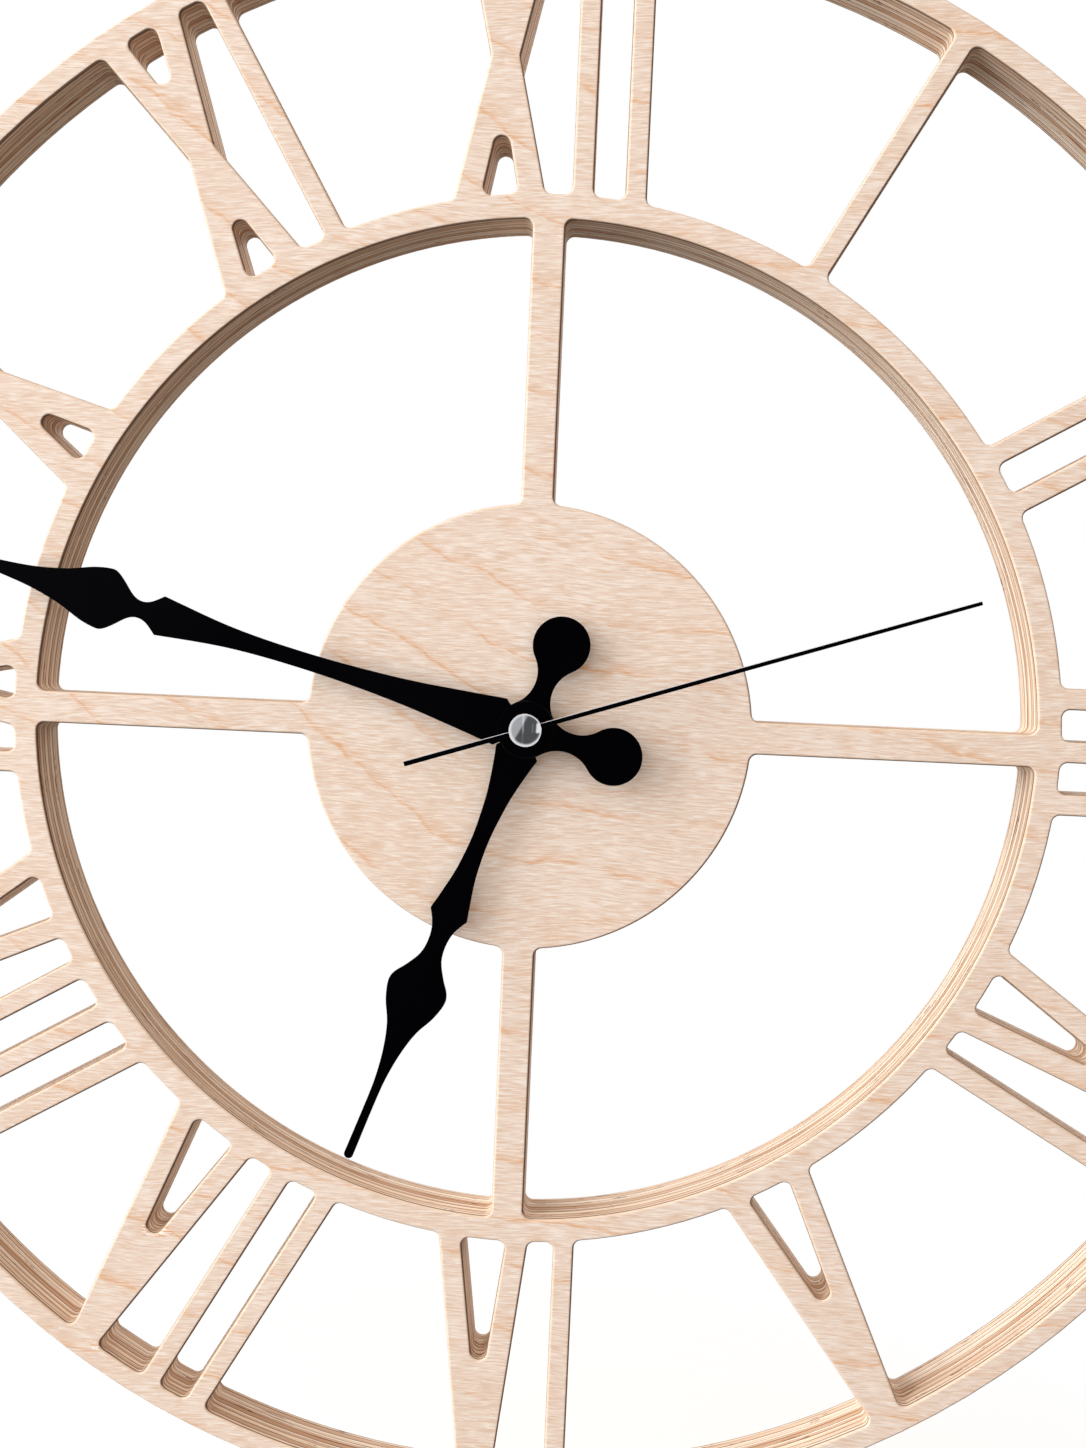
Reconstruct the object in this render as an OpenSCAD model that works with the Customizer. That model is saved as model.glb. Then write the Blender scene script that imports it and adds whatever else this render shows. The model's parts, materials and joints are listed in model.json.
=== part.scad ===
// Skeleton wall clock: a dial milled from one birch board, a quartz movement
// clamped behind its hub, and three black hands under a bright cap.
//
// +X is three o'clock, +Z is twelve o'clock and the dial faces -Y. The origin is
// on the wall, in line with the hands. A height is the distance out from the wall.

/* [Dial] */
// Outer radius of the dial
dial_r = 200; // [170:5:260]
// Thickness of the birch board
board_t = 12; // [9:0.5:15]
// Width of the outer ring
outer_ring_w = 5.4; // [4:0.1:9]
// Inner radius of the inner ring
inner_ring_r = 124; // [110:1:135]
// Width of the inner ring
inner_ring_w = 6; // [4:0.1:9]
// Radius of the hub disc
hub_r = 55.2; // [50:0.2:70]
// Width of the four spokes
spoke_w = 8; // [6:0.2:14]
// Diameter of the milling cutter, which rounds every inside corner
cutter_d = 4; // [2:0.1:5]
// Radius of the hole through the hub
hub_bore_r = 4.2; // [4.1:0.05:6]

/* [Numerals] */
// Width of a single bar
bar_w = 5.2; // [4:0.1:7]
// Gap between two single bars
bar_gap = 7.7; // [6:0.1:9]
// Gap between a wide numeral and the bar beside it
letter_gap = 6.3; // [5:0.1:9]
// Width of the V at its open end
v_w = 22.8; // [20:0.1:26]
// Width of the V at its point
v_tip_w = 7.6; // [5:0.1:10]
// Width of one stroke of the V at its open end
v_stroke_w = 5.7; // [4:0.1:7]
// How deep the strokes of the V stay apart, measured to where their edges meet
v_fork_d = 45; // [40:0.5:55]
// Width of the X at its ends
x_w = 22.4; // [20:0.1:26]
// Width of the X at its waist
x_waist_w = 7.2; // [5:0.1:10]
// Width of one stroke of the X at its end
x_stroke_w = 6.9; // [5:0.1:8]
// How deep the strokes of the X stay apart, measured to where their edges meet
x_fork_d = 21.5; // [18:0.5:26]

/* [Hands] */
// Length of the hour hand from the axis
hour_len = 115.8; // [95:0.2:118]
// Length of the minute hand from the axis
minute_len = 152; // [130:1:180]
// Length of the second hand from the axis
second_len = 111.2; // [90:0.2:150]
// Length of the second hand's tail
second_tail = 30.4; // [15:0.2:45]
// Width of the second hand at its tail
second_w = 1.3; // [1:0.1:2]
// Width of the second hand at its tip
second_tip_w = 1; // [0.6:0.1:1.5]
// Greatest width of the leaf on the hour and minute hands
leaf_w = 15.1; // [12:0.1:20]
// Radius of a hand's boss and of the disc on its tail
hand_disc_r = 7; // [6:0.1:9]
// Distance of the tail disc from the axis
tail_disc_at = 22; // [18:0.2:28]
// Width of the neck between boss and tail disc
tail_neck_w = 4.7; // [3:0.1:8]
// Thickness of the hour and minute hands
hand_t = 0.6; // [0.4:0.1:1]
// Thickness of the second hand
second_t = 0.4; // [0.3:0.1:0.8]
// Radius of the bright cap
cap_r = 4; // [3:0.1:6]
// Height of the bright cap
cap_h = 2.8; // [1.5:0.1:4]
// Where the hour hand stands, in degrees clockwise from twelve
hour_rest = 200.3; // [0:0.1:360]
// Where the minute hand stands
minute_rest = 284.7; // [0:0.1:360]
// Where the second hand stands
second_rest = 71.9; // [0:0.1:360]

/* [Movement case] */
// Radius of the case corners
case_corner_r = 3; // [1:0.1:5]
// Thickness of the side walls
wall_t = 1.2; // [1:0.1:1.3]
// Thickness of the front plate of the case
front_t = 1.2; // [1:0.1:2]
// Thickness of the rear cover
cover_t = 1.2; // [1:0.1:1.5]
// Thickness of the wall between battery and wheels
partition_t = 1; // [0.8:0.1:1]
// Height of a snap tab on the rear cover
tab_h = 2.2; // [1.5:0.1:2.5]
// Length of a snap tab
tab_l = 5; // [3:0.5:8]
// Thickness of a snap tab
tab_t = 0.8; // [0.6:0.1:1]

/* [Battery] */
// Diameter of the battery
battery_d = 14.5; // [12:0.1:17]
// Length of the battery body
battery_l = 49.2; // [42:0.1:58]
// Radius of the battery's button
button_r = 2.75; // [2.5:0.05:3]
// Height of the battery's button
button_h = 1.3; // [1:0.1:1.5]
// Space between the battery and the wall behind it
battery_back_gap = 0.5; // [0.3:0.1:1]
// Space between the battery and the front plate
battery_front_gap = 0.3; // [0.2:0.1:1]
// Space between the battery and the bay's two long walls
battery_side_gap = 0.7; // [0.4:0.1:0.8]
// Thickness of the contact strips
contact_t = 0.4; // [0.3:0.05:0.5]
// Width of the contact strips
contact_w = 3; // [2:0.1:3.2]

/* [Fixing] */
// Outer radius of the threaded bush
bush_r = 4; // [3.6:0.05:4.1]
// Radius of the bush's inner flange
bush_flange_r = 5.5; // [5:0.1:6]
// Thickness of the bush's inner flange
bush_flange_t = 0.8; // [0.5:0.1:0.9]
// How far the bush stands proud of the nut
bush_proud = 1; // [0.5:0.1:2]
// Thickness of the fixing nut
nut_t = 2; // [1.5:0.1:3]
// Width of the fixing nut across its corners
nut_corner_w = 12.7; // [11:0.1:14]
// Radius of the washer under the nut
washer_r = 6.6; // [6:0.1:9]
// Thickness of the washer under the nut
washer_t = 0.5; // [0.3:0.1:1]
// Radius of the rubber gasket
gasket_r = 11; // [8:0.5:20]
// Thickness of the rubber gasket
gasket_t = 1; // [0.5:0.1:2]
// Thickness of the steel hanger
hanger_t = 1; // [0.8:0.1:1.5]
// Width of the hanger
hanger_w = 22; // [18:0.5:30]
// How far the hanger steps back from the dial, to leave room for a screw's head
hanger_step = 8.5; // [6:0.5:12]
// Height of the keyhole's centre above the top of the case
keyhole_above = 10; // [8:0.5:14]
// Radius of the keyhole's round part
keyhole_r = 3.5; // [3:0.1:4.5]
// Width of the keyhole's slot
keyhole_slot_w = 3; // [2:0.1:4]
// How far the slot runs above the keyhole's centre
keyhole_slot_l = 6; // [5:0.1:8]

/* [Wheels] */
// Thickness of a toothed wheel
wheel_t = 0.8; // [0.6:0.05:0.9]
// How far a pinion reaches past the wheel that it meets, on each side
pinion_over = 0.2; // [0.1:0.05:0.3]
// Space between two wheels that pass each other
level_gap = 0.5; // [0.45:0.05:0.6]
// Radial clearance of every shaft in its bearing
running_fit = 0.05; // [0.02:0.01:0.08]
// How much thinner than half its pitch every tooth is
tooth_play = 0.04; // [0.03:0.005:0.05]
// Tooth size of the cannon pinion, the minute works wheel and the setting pinion
works_module = 0.375; // [0.36:0.005:0.38]
// Tooth size of the third wheel and of the pinion that drives it
third_module = 0.3; // [0.29:0.005:0.31]
// Tooth size of the second wheel and of the pinion that drives it
second_module = 0.25; // [0.24:0.005:0.26]
// Tooth size of the intermediate wheel and of the rotor pinion
rotor_module = 0.2; // [0.19:0.005:0.21]
// Radius of a wheel's arbor
arbor_r = 0.5; // [0.45:0.01:0.55]
// Radius of the thin pivots that arbors turn on
pivot_r = 0.3; // [0.25:0.01:0.35]
// Length of a pivot inside its bearing
pivot_l = 0.7; // [0.5:0.05:0.8]
// Outer radius of the minute tube
minute_tube_r = 1.6; // [1.5:0.02:1.7]
// Outer radius of the hour tube
hour_tube_r = 2.5; // [2.4:0.02:2.6]

/* [Motor] */
// Radius of the rotor's magnet
magnet_r = 2.6; // [2.2:0.05:2.8]
// Length of the rotor's magnet
magnet_l = 1.6; // [1.2:0.1:2]
// Air gap between the magnet and the stator
air_gap = 0.4; // [0.3:0.05:0.6]
// Thickness of the stator and of the coil's core
stator_t = 0.8; // [0.6:0.05:0.8]
// Width of the stator's arms
stator_arm_w = 4; // [3:0.1:4.5]
// Width of the stator's ring round the magnet
stator_ring_w = 2.4; // [2:0.1:2.6]
// Height of the coil's axis above the hands' axis
coil_at = 20.7; // [20:0.1:21.5]
// Width of the coil's core
core_w = 3; // [2.4:0.1:3.2]
// Radius of the bobbin's flanges
bobbin_r = 3.6; // [3.2:0.05:3.7]
// Radius of the winding
winding_r = 3.3; // [2.8:0.05:3.4]
// Thickness of the bobbin's flanges and of its tube wall
bobbin_t = 0.8; // [0.5:0.05:0.9]

/* [Hidden] */
$fn = 64;
ring_sides = 180;
corner_sides = 24;

// Colours
birch = "#e8cfae";
black = "#0c0c10";
case_black = "#1b1b1d";
brass = "#c9a24a";
steel = "#b9bcc0";
nylon = "#ece9df";
copper = "#b5622e";

// How far a cut runs past the face that it opens
over = 1;

// The numerals, in reading order from one o'clock
numerals = [
    ["I"], ["I", "I"], ["I", "I", "I"], ["I", "V"], ["V"], ["V", "I"],
    ["V", "I", "I"], ["V", "I", "I", "I"], ["I", "X"], ["X"], ["X", "I"], ["X", "I", "I"]
];
// The hours whose tops point at the hub, so that they read from below
first_turned = 4;
last_turned = 8;

// Rings of the dial
band_in = inner_ring_r + inner_ring_w;
band_out = dial_r - outer_ring_w;
band_mid = (band_in + band_out) / 2;
band_h = band_out - band_in;
cutter_r = cutter_d / 2;

// Levels of the train, each stacked on the one behind it
intermediate_back = cover_t + level_gap;
stator_back = intermediate_back + wheel_t + 3 * level_gap;
stator_front = stator_back + stator_t;
second_back = stator_front + level_gap;
plate_back = second_back + wheel_t + level_gap + pinion_over;
plate_t = 1;
plate_front = plate_back + plate_t;
third_back = plate_front + level_gap;
third_front = third_back + wheel_t;
flange_t = 0.3;
slack = 0.1;
seat_gap = 0.02;
flange_back = third_front + pinion_over + 2 * slack;
centre_back = flange_back + flange_t + slack;
centre_front = centre_back + wheel_t;
clutch_t = 0.3;
clutch_back = centre_front + slack;
cannon_back = clutch_back + clutch_t;
works_back = cannon_back + pinion_over;
works_front = works_back + wheel_t;
hour_back = works_front + level_gap;
hour_front = hour_back + wheel_t;

// Heights of the case and of what is clamped behind and on the dial. The case is as
// deep as the battery asks, or the train with the bush's flange above it.
train_front = hour_front + pinion_over + 2 * slack + bush_flange_t;
front_inner = max(battery_back_gap + battery_d + battery_front_gap, train_front);
case_depth = front_inner + front_t;
hanger_front = case_depth + hanger_t;
gasket_front = hanger_front + gasket_t;
board_front = gasket_front + board_t;
washer_front = board_front + washer_t;
nut_front = washer_front + nut_t;
bush_front = nut_front + bush_proud;
bush_back = front_inner - bush_flange_t;
hook_front = hanger_front - hanger_step;
hook_back = hook_front - hanger_t;

// Heights of the hands
hand_gap = 0.2;
hour_collet_l = 1;
minute_collet_l = 1.4;
second_tube_l = 1.1;
tube_proud = 0.4;
hour_hand_back = bush_front + hand_gap + hour_collet_l;
hour_hand_front = hour_hand_back + hand_t;
hour_tube_front = hour_hand_front + tube_proud;
minute_hand_back = hour_tube_front + hand_gap + minute_collet_l;
minute_hand_front = minute_hand_back + hand_t;
minute_tube_front = minute_hand_front + tube_proud;
second_hand_back = minute_tube_front + hand_gap + second_tube_l;
second_hand_front = second_hand_back + second_t;

// Collets under the hands, and the disc of the second hand under its cap
hour_collet_r = 3.5;
minute_collet_r = 2.6;
second_tube_r = 0.9;
second_disc_r = 2.4;
boss_step_t = 0.25;
boss_step_r = 6.8;

// Tooth counts
cannon_n = 12;
works_n = 36;
works_pinion_n = 12;
hour_n = 48;
knob_n = 12;
second_pinion_n = 8;
third_n = 60;
third_pinion_n = 8;
centre_n = 64;
rotor_n = 12;
intermediate_n = 60;
intermediate_pinion_n = 10;
second_n = 60;

// Tooth form: pressure angle in degrees, and heights as shares of the module
pressure = 25;
tip_share = 0.7;
root_share = 0.95;

// Distances between arbors, and the modules that have to share them
works_dist = (cannon_n + works_n) * works_module / 2;
hour_module = 2 * works_dist / (works_pinion_n + hour_n);
knob_dist = (works_n + knob_n) * works_module / 2;
third_dist = (second_pinion_n + third_n) * third_module / 2;
centre_module = 2 * third_dist / (third_pinion_n + centre_n);
intermediate_dist = (intermediate_pinion_n + second_n) * second_module / 2;
rotor_dist = (rotor_n + intermediate_n) * rotor_module / 2;

// Directions from one arbor to the next, in degrees from three o'clock
works_dir = -6;
knob_dir = 20;
third_dir = 60;
intermediate_dir = 150;
rotor_dir = 150;

function polar(r, a) = [r * cos(a), r * sin(a)];
works_at = polar(works_dist, works_dir);
knob_at = works_at + polar(knob_dist, knob_dir);
third_at = polar(third_dist, third_dir);
intermediate_at = polar(intermediate_dist, intermediate_dir);
rotor_at = intermediate_at + polar(rotor_dist, rotor_dir);

// How far a wheel is turned so that a gap of it faces a tooth of its partner
function mesh_turn(dir, n1, turn1, n2) = dir + 180 + (n1 * (dir - turn1) - 180) / n2;
works_turn = mesh_turn(works_dir, cannon_n, 0, works_n);
knob_turn = mesh_turn(knob_dir, works_n, works_turn, knob_n);
hour_turn = mesh_turn(works_dir + 180, works_pinion_n, 0, hour_n);
third_turn = mesh_turn(third_dir, second_pinion_n, 0, third_n);
centre_turn = mesh_turn(third_dir + 180, third_pinion_n, 0, centre_n);
intermediate_turn = mesh_turn(intermediate_dir + 180, second_n, 0, intermediate_pinion_n);
rotor_turn = mesh_turn(rotor_dir, intermediate_n, 0, rotor_n);

// Bosses, pillars and pins on the front plate
post_r = 0.8;
boss_r = 1.5;
knob_boss_r = 2.2;
pillar_r = 1.2;
pin_r = 0.6;
pin_proud = 0.4;
flange_r = 2.6;
clutch_r = 3;
shaft_shoulder = 2 * slack;
plate_margin = 2;
pillar_places = [
    [rotor_at.x - boss_r - pillar_r, rotor_at.y - third_dist],
    [rotor_at.x - boss_r - pillar_r, rotor_at.y + 5 * pillar_r],
    third_at + polar(third_dist + pillar_r / 2, 29)
];

// Coil and stator, placed round the rotor
pole_hole_r = magnet_r + air_gap;
pole_r = pole_hole_r + stator_ring_w;
left_arm_x = rotor_at.x - pole_r;
coil_l = 18.2;
coil_gap = 0.4;
right_arm_x = left_arm_x + stator_arm_w + coil_l + 2 * bobbin_t + 2 * coil_gap;
arm_top = coil_at + core_w / 2;
cross_arm_z = rotor_at.y + stator_ring_w;
core_back = stator_front;
core_front = core_back + stator_t;
coil_h = (core_back + core_front) / 2;
bobbin_tube_r = sqrt(pow(core_w / 2, 2) + pow(stator_t / 2, 2)) + bobbin_t / 4;
bobbin_left = left_arm_x + stator_arm_w + coil_gap;

// Inside, the case is as wide as the longest of three stacks: the battery lengthwise,
// twice the motor and the circuit board, and twice the train and the battery across
pcb_w = 17;
pcb_side_gap = 0.2;
leaf_room = 2.7;
bay_gap = 0.6;
centre_tip_r = (centre_n / 2 + tip_share) * centre_module;
battery_stack = battery_l + button_h + contact_t + leaf_room;
motor_stack = 2 * (right_arm_x + stator_arm_w + pcb_w + 2 * pcb_side_gap);
bay_stack = 2 * (centre_tip_r + bay_gap + partition_t + 2 * battery_side_gap + battery_d);
inner_half = max(battery_stack, motor_stack, bay_stack) / 2;
case_w = 2 * (inner_half + wall_t);

// Hanger, which is bent over the top of the case
riser_gap = 0.3;
riser_z = case_w / 2 + riser_gap;
keyhole_at = case_w / 2 + keyhole_above;

// Battery bay
battery_z = -inner_half + battery_side_gap + battery_d / 2;
bay_top = battery_z + battery_d / 2 + battery_side_gap;
battery_h = battery_back_gap + battery_d / 2;
battery_plus = inner_half - contact_t;
battery_minus = battery_plus - battery_l - button_h;
bay_left = battery_minus - leaf_room;
window_margin = 1.2;
strip_back = cover_t + 2 * contact_t;
strip_front = strip_back + contact_w;

// Rear cover: the well that the setting knob lies in
knob_r = 5.2;
knob_t = 2;
knob_back = 0.4;
knob_shaft_r = 1.5;
well_gap = 0.4;
well_wall = 0.8;
well_r = knob_r + well_gap;
well_floor = knob_back + knob_t + well_gap;
knurl_n = 20;
knurl_r = 0.35;

// Circuit board
board_pcb_back = strip_front;
pcb_t = 1;
pcb_h = 8.6;
pcb_top_gap = 1.8;
pcb_right = inner_half - pcb_side_gap;
pcb_left = pcb_right - pcb_w;
pcb_top = inner_half - pcb_top_gap;
pcb_mid = pcb_top - pcb_h / 2;
chip_r = 2.4;
chip_t = 0.9;
crystal_r = 1;
crystal_l = 5.5;

// Outline of the hands, from the boss to the tip. Each station is a share of the
// hand's length and a share of half the leaf's width.
hour_blade_shares = [
    [0.054, 0.715], [0.086, 0.595], [0.130, 0.455], [0.173, 0.358], [0.250, 0.278],
    [0.328, 0.345], [0.389, 0.515], [0.427, 0.642]
];
hour_leaf_shares = [
    [0.427, 0.642], [0.458, 0.391], [0.492, 0.305], [0.527, 0.377], [0.561, 0.662],
    [0.586, 0.930], [0.609, 1.000], [0.648, 0.834], [0.691, 0.517], [0.743, 0.305],
    [0.803, 0.179], [0.864, 0.146], [0.990, 0.152]
];
minute_blade_shares = [
    [0.0434, 0.775], [0.099, 0.636], [0.197, 0.417], [0.296, 0.298], [0.382, 0.265],
    [0.461, 0.298], [0.526, 0.404], [0.614, 0.649]
];
minute_leaf_shares = [
    [0.614, 0.649], [0.632, 0.364], [0.648, 0.278], [0.664, 0.384], [0.684, 0.742],
    [0.697, 0.940], [0.709, 1.000], [0.737, 0.887], [0.776, 0.596], [0.822, 0.371],
    [0.868, 0.245], [0.921, 0.166], [0.993, 0.146]
];
curve_steps = 4;

// Smooth curve through a list of stations
function curve_point(a, b, c, d, t) =
    0.5 * (2 * b + (c - a) * t + (2 * a - 5 * b + 4 * c - d) * t * t
    + (3 * b - a - 3 * c + d) * t * t * t);
function curve(p) = [
    for (i = [0 : len(p) - 2]) for (k = [0 : curve_steps - 1])
        curve_point(p[max(i - 1, 0)], p[i], p[i + 1], p[min(i + 2, len(p) - 1)], k / curve_steps)
];
function reversed(p) = [for (i = [len(p) - 1 : -1 : 0]) p[i]];

// Flank of a tooth: the half angle at a radius, and the radii of its points
function involute(a) = tan(a) * 180 / PI - a;
function half_angle(r, n, m) =
    let (pitch_r = n * m / 2, base_r = pitch_r * cos(pressure), safe_r = max(r, base_r))
    ((PI * m / 2 - tooth_play) / (2 * pitch_r)) * 180 / PI + involute(pressure)
    - involute(acos(min(1, base_r / safe_r)));
function flank_radii(n, m) =
    let (pitch_r = n * m / 2, base_r = pitch_r * cos(pressure))
    let (root_r = pitch_r - root_share * m, tip_r = pitch_r + tip_share * m)
    root_r < base_r ? [root_r, base_r, pitch_r, (pitch_r + tip_r) / 2, tip_r]
        : [root_r, pitch_r, tip_r];

// Places shapes that are drawn as seen from the front, between two heights
module out(low, high) {
    rotate([90, 0, 0])
        translate([0, 0, low])
            linear_extrude(height = high - low)
                children();
}

module disc(r, low, high, at = [0, 0]) {
    out(low, high)
        translate(at)
            circle(r = r);
}

module tube(r, bore, low, high, at = [0, 0]) {
    out(low, high)
        translate(at)
            difference() {
                circle(r = r);
                circle(r = bore);
            }
}

module box_between(a, b) {
    translate(a)
        square(b - a);
}

module gear_outline(n, m, turn) {
    radii = flank_radii(n, m);
    rotate(turn)
        polygon([
            for (i = [0 : n - 1])
                for (side = [-1, 1])
                    for (r = side < 0 ? radii : reversed(radii))
                        polar(r, i * 360 / n + side * half_angle(r, n, m))
        ]);
}

// Dial

function glyph_w(g) = g == "I" ? bar_w : g == "V" ? v_w : x_w;
function gap_after(g, next) = g == "I" && next == "I" ? bar_gap : letter_gap;
function numeral_w(p, i = 0) =
    i == len(p) - 1 ? glyph_w(p[i])
        : glyph_w(p[i]) + gap_after(p[i], p[i + 1]) + numeral_w(p, i + 1);
function glyph_left(p, i) =
    i == 0 ? -numeral_w(p) / 2
        : glyph_left(p, i - 1) + glyph_w(p[i - 1]) + gap_after(p[i - 1], p[i]);

module bar() {
    square([bar_w, band_h + 2 * over], center = true);
}

module fork_gap(half_w, depth) {
    grow = (depth + over) / depth;
    polygon([
        [-half_w * grow, band_h / 2 + over],
        [half_w * grow, band_h / 2 + over],
        [0, band_h / 2 - depth]
    ]);
}

module letter_v() {
    difference() {
        polygon([
            [-v_w / 2, band_h / 2 + over],
            [v_w / 2, band_h / 2 + over],
            [v_tip_w / 2, -band_h / 2 - over],
            [-v_tip_w / 2, -band_h / 2 - over]
        ]);
        fork_gap(v_w / 2 - v_stroke_w, v_fork_d);
    }
}

module letter_x() {
    end_z = band_h / 2 + over;
    difference() {
        polygon([
            [-x_w / 2, end_z],
            [x_w / 2, end_z],
            [x_waist_w / 2, 0],
            [x_w / 2, -end_z],
            [-x_w / 2, -end_z],
            [-x_waist_w / 2, 0]
        ]);
        for (turn = [0, 180])
            rotate(turn)
                fork_gap(x_w / 2 - x_stroke_w, x_fork_d);
    }
}

module glyph(g) {
    if (g == "I") bar();
    if (g == "V") letter_v();
    if (g == "X") letter_x();
}

module numeral(hour) {
    p = numerals[hour - 1];
    turned = hour >= first_turned && hour <= last_turned;
    rotate(-30 * hour)
        translate([0, band_mid])
            rotate(turned ? 180 : 0)
                for (i = [0 : len(p) - 1])
                    translate([glyph_left(p, i) + glyph_w(p[i]) / 2, 0])
                        glyph(p[i]);
}

module band_windows() {
    difference() {
        circle(r = band_out, $fn = ring_sides);
        circle(r = band_in, $fn = ring_sides);
        for (hour = [1 : 12]) numeral(hour);
    }
}

module quadrant_windows() {
    difference() {
        circle(r = inner_ring_r, $fn = ring_sides);
        circle(r = hub_r, $fn = ring_sides);
        square([2 * dial_r, spoke_w], center = true);
        square([spoke_w, 2 * dial_r], center = true);
    }
}

module dial() {
    color(birch)
        out(gasket_front, board_front)
            difference() {
                circle(r = dial_r, $fn = ring_sides);
                circle(r = hub_bore_r);
                offset(r = cutter_r, $fn = corner_sides)
                    offset(delta = -cutter_r) {
                        band_windows();
                        quadrant_windows();
                    }
            }
}

// Fixing

// A strip that is bent back over the top of the case and ends in a keyhole
module hanger() {
    half = hanger_w / 2;
    slot_top = keyhole_slot_l - keyhole_slot_w / 2;
    color(steel) {
        out(case_depth, hanger_front)
            difference() {
                union() {
                    circle(r = half);
                    box_between([-half, 0], [half, riser_z + hanger_t]);
                }
                circle(r = bush_r + seat_gap);
            }
        out(hook_back, hanger_front)
            box_between([-half, riser_z], [half, riser_z + hanger_t]);
        out(hook_back, hook_front)
            difference() {
                intersection() {
                    union() {
                        box_between([-half, riser_z], [half, keyhole_at]);
                        translate([0, keyhole_at]) circle(r = half);
                    }
                    box_between([-half, riser_z], [half, keyhole_at + half]);
                }
                translate([0, keyhole_at]) {
                    circle(r = keyhole_r);
                    box_between([-keyhole_slot_w / 2, 0], [keyhole_slot_w / 2, slot_top]);
                    translate([0, slot_top]) circle(d = keyhole_slot_w);
                }
            }
    }
}

module gasket() {
    color("#202022") tube(gasket_r, bush_r + seat_gap, hanger_front, gasket_front);
}

module threaded_bush() {
    color(brass) {
        tube(bush_r, hour_tube_r + running_fit, front_inner, bush_front);
        tube(bush_flange_r, hour_tube_r + running_fit, bush_back, front_inner);
    }
}

module dial_washer() {
    color(brass) tube(washer_r, bush_r + seat_gap, board_front, washer_front);
}

module fixing_nut() {
    color(brass)
        out(washer_front, nut_front)
            difference() {
                circle(d = nut_corner_w, $fn = 6);
                circle(r = bush_r + seat_gap);
            }
}

// Case

module case_outline(inset) {
    half = case_w / 2 - inset;
    r = max(case_corner_r - inset, case_corner_r / 4);
    box_between([r - half, -half], [half - r, half]);
    box_between([-half, r - half], [half, half - r]);
    for (x = [-1, 1])
        for (z = [-1, 1])
            translate([x * (half - r), z * (half - r)])
                circle(r = r);
}

// Space for both contact strips where they pass the wall of the battery bay
module strip_notch(side) {
    x = side < 0 ? bay_left + contact_t / 2 : inner_half - contact_t / 2;
    out(cover_t, strip_front + slack)
        translate([x, bay_top + partition_t / 2])
            square([contact_t + 4 * slack, partition_t + 2 * slack], center = true);
}

module case_front() {
    color(case_black)
        difference() {
            union() {
                out(front_inner, case_depth) case_outline(0);
                out(cover_t, front_inner)
                    difference() {
                        case_outline(0);
                        case_outline(wall_t);
                    }
                difference() {
                    out(cover_t, front_inner)
                        box_between([-inner_half, bay_top], [inner_half, bay_top + partition_t]);
                    for (side = [-1, 1]) strip_notch(side);
                }
                out(cover_t, front_inner)
                    box_between([-inner_half - wall_t / 2, -inner_half], [bay_left, bay_top]);
                disc(post_r, works_back - 3 * slack, front_inner, works_at);
                tube(boss_r, pivot_r + running_fit, third_pinion_top() + shaft_shoulder + slack,
                    front_inner, third_at);
                tube(knob_boss_r, post_r + running_fit, works_front + pinion_over + shaft_shoulder,
                    front_inner, knob_at);
                for (at = pillar_places) {
                    disc(pillar_r, plate_front, front_inner, at);
                    disc(pin_r, plate_back - pin_proud, plate_front, at);
                }
                for (at = pcb_pillars()) {
                    disc(pillar_r, board_pcb_back + pcb_t, front_inner, at);
                    disc(pin_r, board_pcb_back - pin_proud, board_pcb_back + pcb_t, at);
                }
            }
            disc(bush_r + seat_gap, front_inner - over, case_depth + over);
        }
}

function third_pinion_top() = centre_front + pinion_over;
function pcb_pillars() = [
    [pcb_left + 2 * pillar_r, pcb_mid],
    [pcb_right - 3 * pillar_r, pcb_mid]
];

module case_rear() {
    color(case_black)
        difference() {
            union() {
                out(0, cover_t) case_outline(0);
                disc(well_r + well_wall, cover_t, well_floor + well_wall, knob_at);
                for (side = [-1, 1])
                    for (x = [-1, 1])
                        out(cover_t, cover_t + tab_h)
                            translate([x * case_w / 4, side * (inner_half - slack - tab_t / 2)])
                                square([tab_l, tab_t], center = true);
            }
            disc(well_r, -over, well_floor, knob_at);
            disc(knob_shaft_r + running_fit, 0, case_depth, knob_at);
            for (at = [[0, 0], intermediate_at, rotor_at])
                disc(pivot_r + running_fit, cover_t - pivot_l - slack, cover_t + over, at);
            out(-over, cover_t + over)
                box_between(
                    [battery_minus - slack, -inner_half + tab_t + 2 * slack],
                    [battery_plus - slack, bay_top - window_margin]
                );
        }
}

// Battery and contacts

module battery() {
    color("#7d8288")
        translate([battery_minus, -battery_h, battery_z])
            rotate([0, 90, 0]) {
                cylinder(r = battery_d / 2, h = battery_l);
                cylinder(r = button_r, h = battery_l + button_h);
            }
}

module positive_contact() {
    color(steel) {
        out(strip_back, strip_front)
            box_between([battery_plus, battery_z], [inner_half, pcb_mid]);
        out(strip_front, battery_h + button_r)
            box_between([battery_plus, battery_z - button_r], [inner_half, battery_z + button_r]);
    }
}

// A bowed leaf that presses on the battery, and a strip from it to the circuit board
module negative_contact() {
    leaf_half = battery_d / 2 - 3 * contact_t;
    leaf_r = (pow(leaf_half, 2) + pow(leaf_room, 2)) / (2 * leaf_room);
    leaf_x = battery_minus - leaf_r;
    run_z = bay_top + partition_t + slack;
    run_x = pcb_right - 4 * contact_t;
    color(steel) {
        out(strip_back, battery_h + button_r)
            intersection() {
                translate([leaf_x, battery_z])
                    difference() {
                        circle(r = leaf_r);
                        circle(r = leaf_r - contact_t);
                    }
                box_between([bay_left, -inner_half], [0, bay_top]);
            }
        out(strip_back, strip_front) {
            box_between([bay_left, battery_z + leaf_half - 3 * contact_t],
                [bay_left + contact_t, run_z + contact_t]);
            box_between([bay_left, run_z], [run_x, run_z + contact_t]);
            box_between([run_x - contact_t, run_z], [run_x, pcb_mid]);
        }
    }
}

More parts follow.
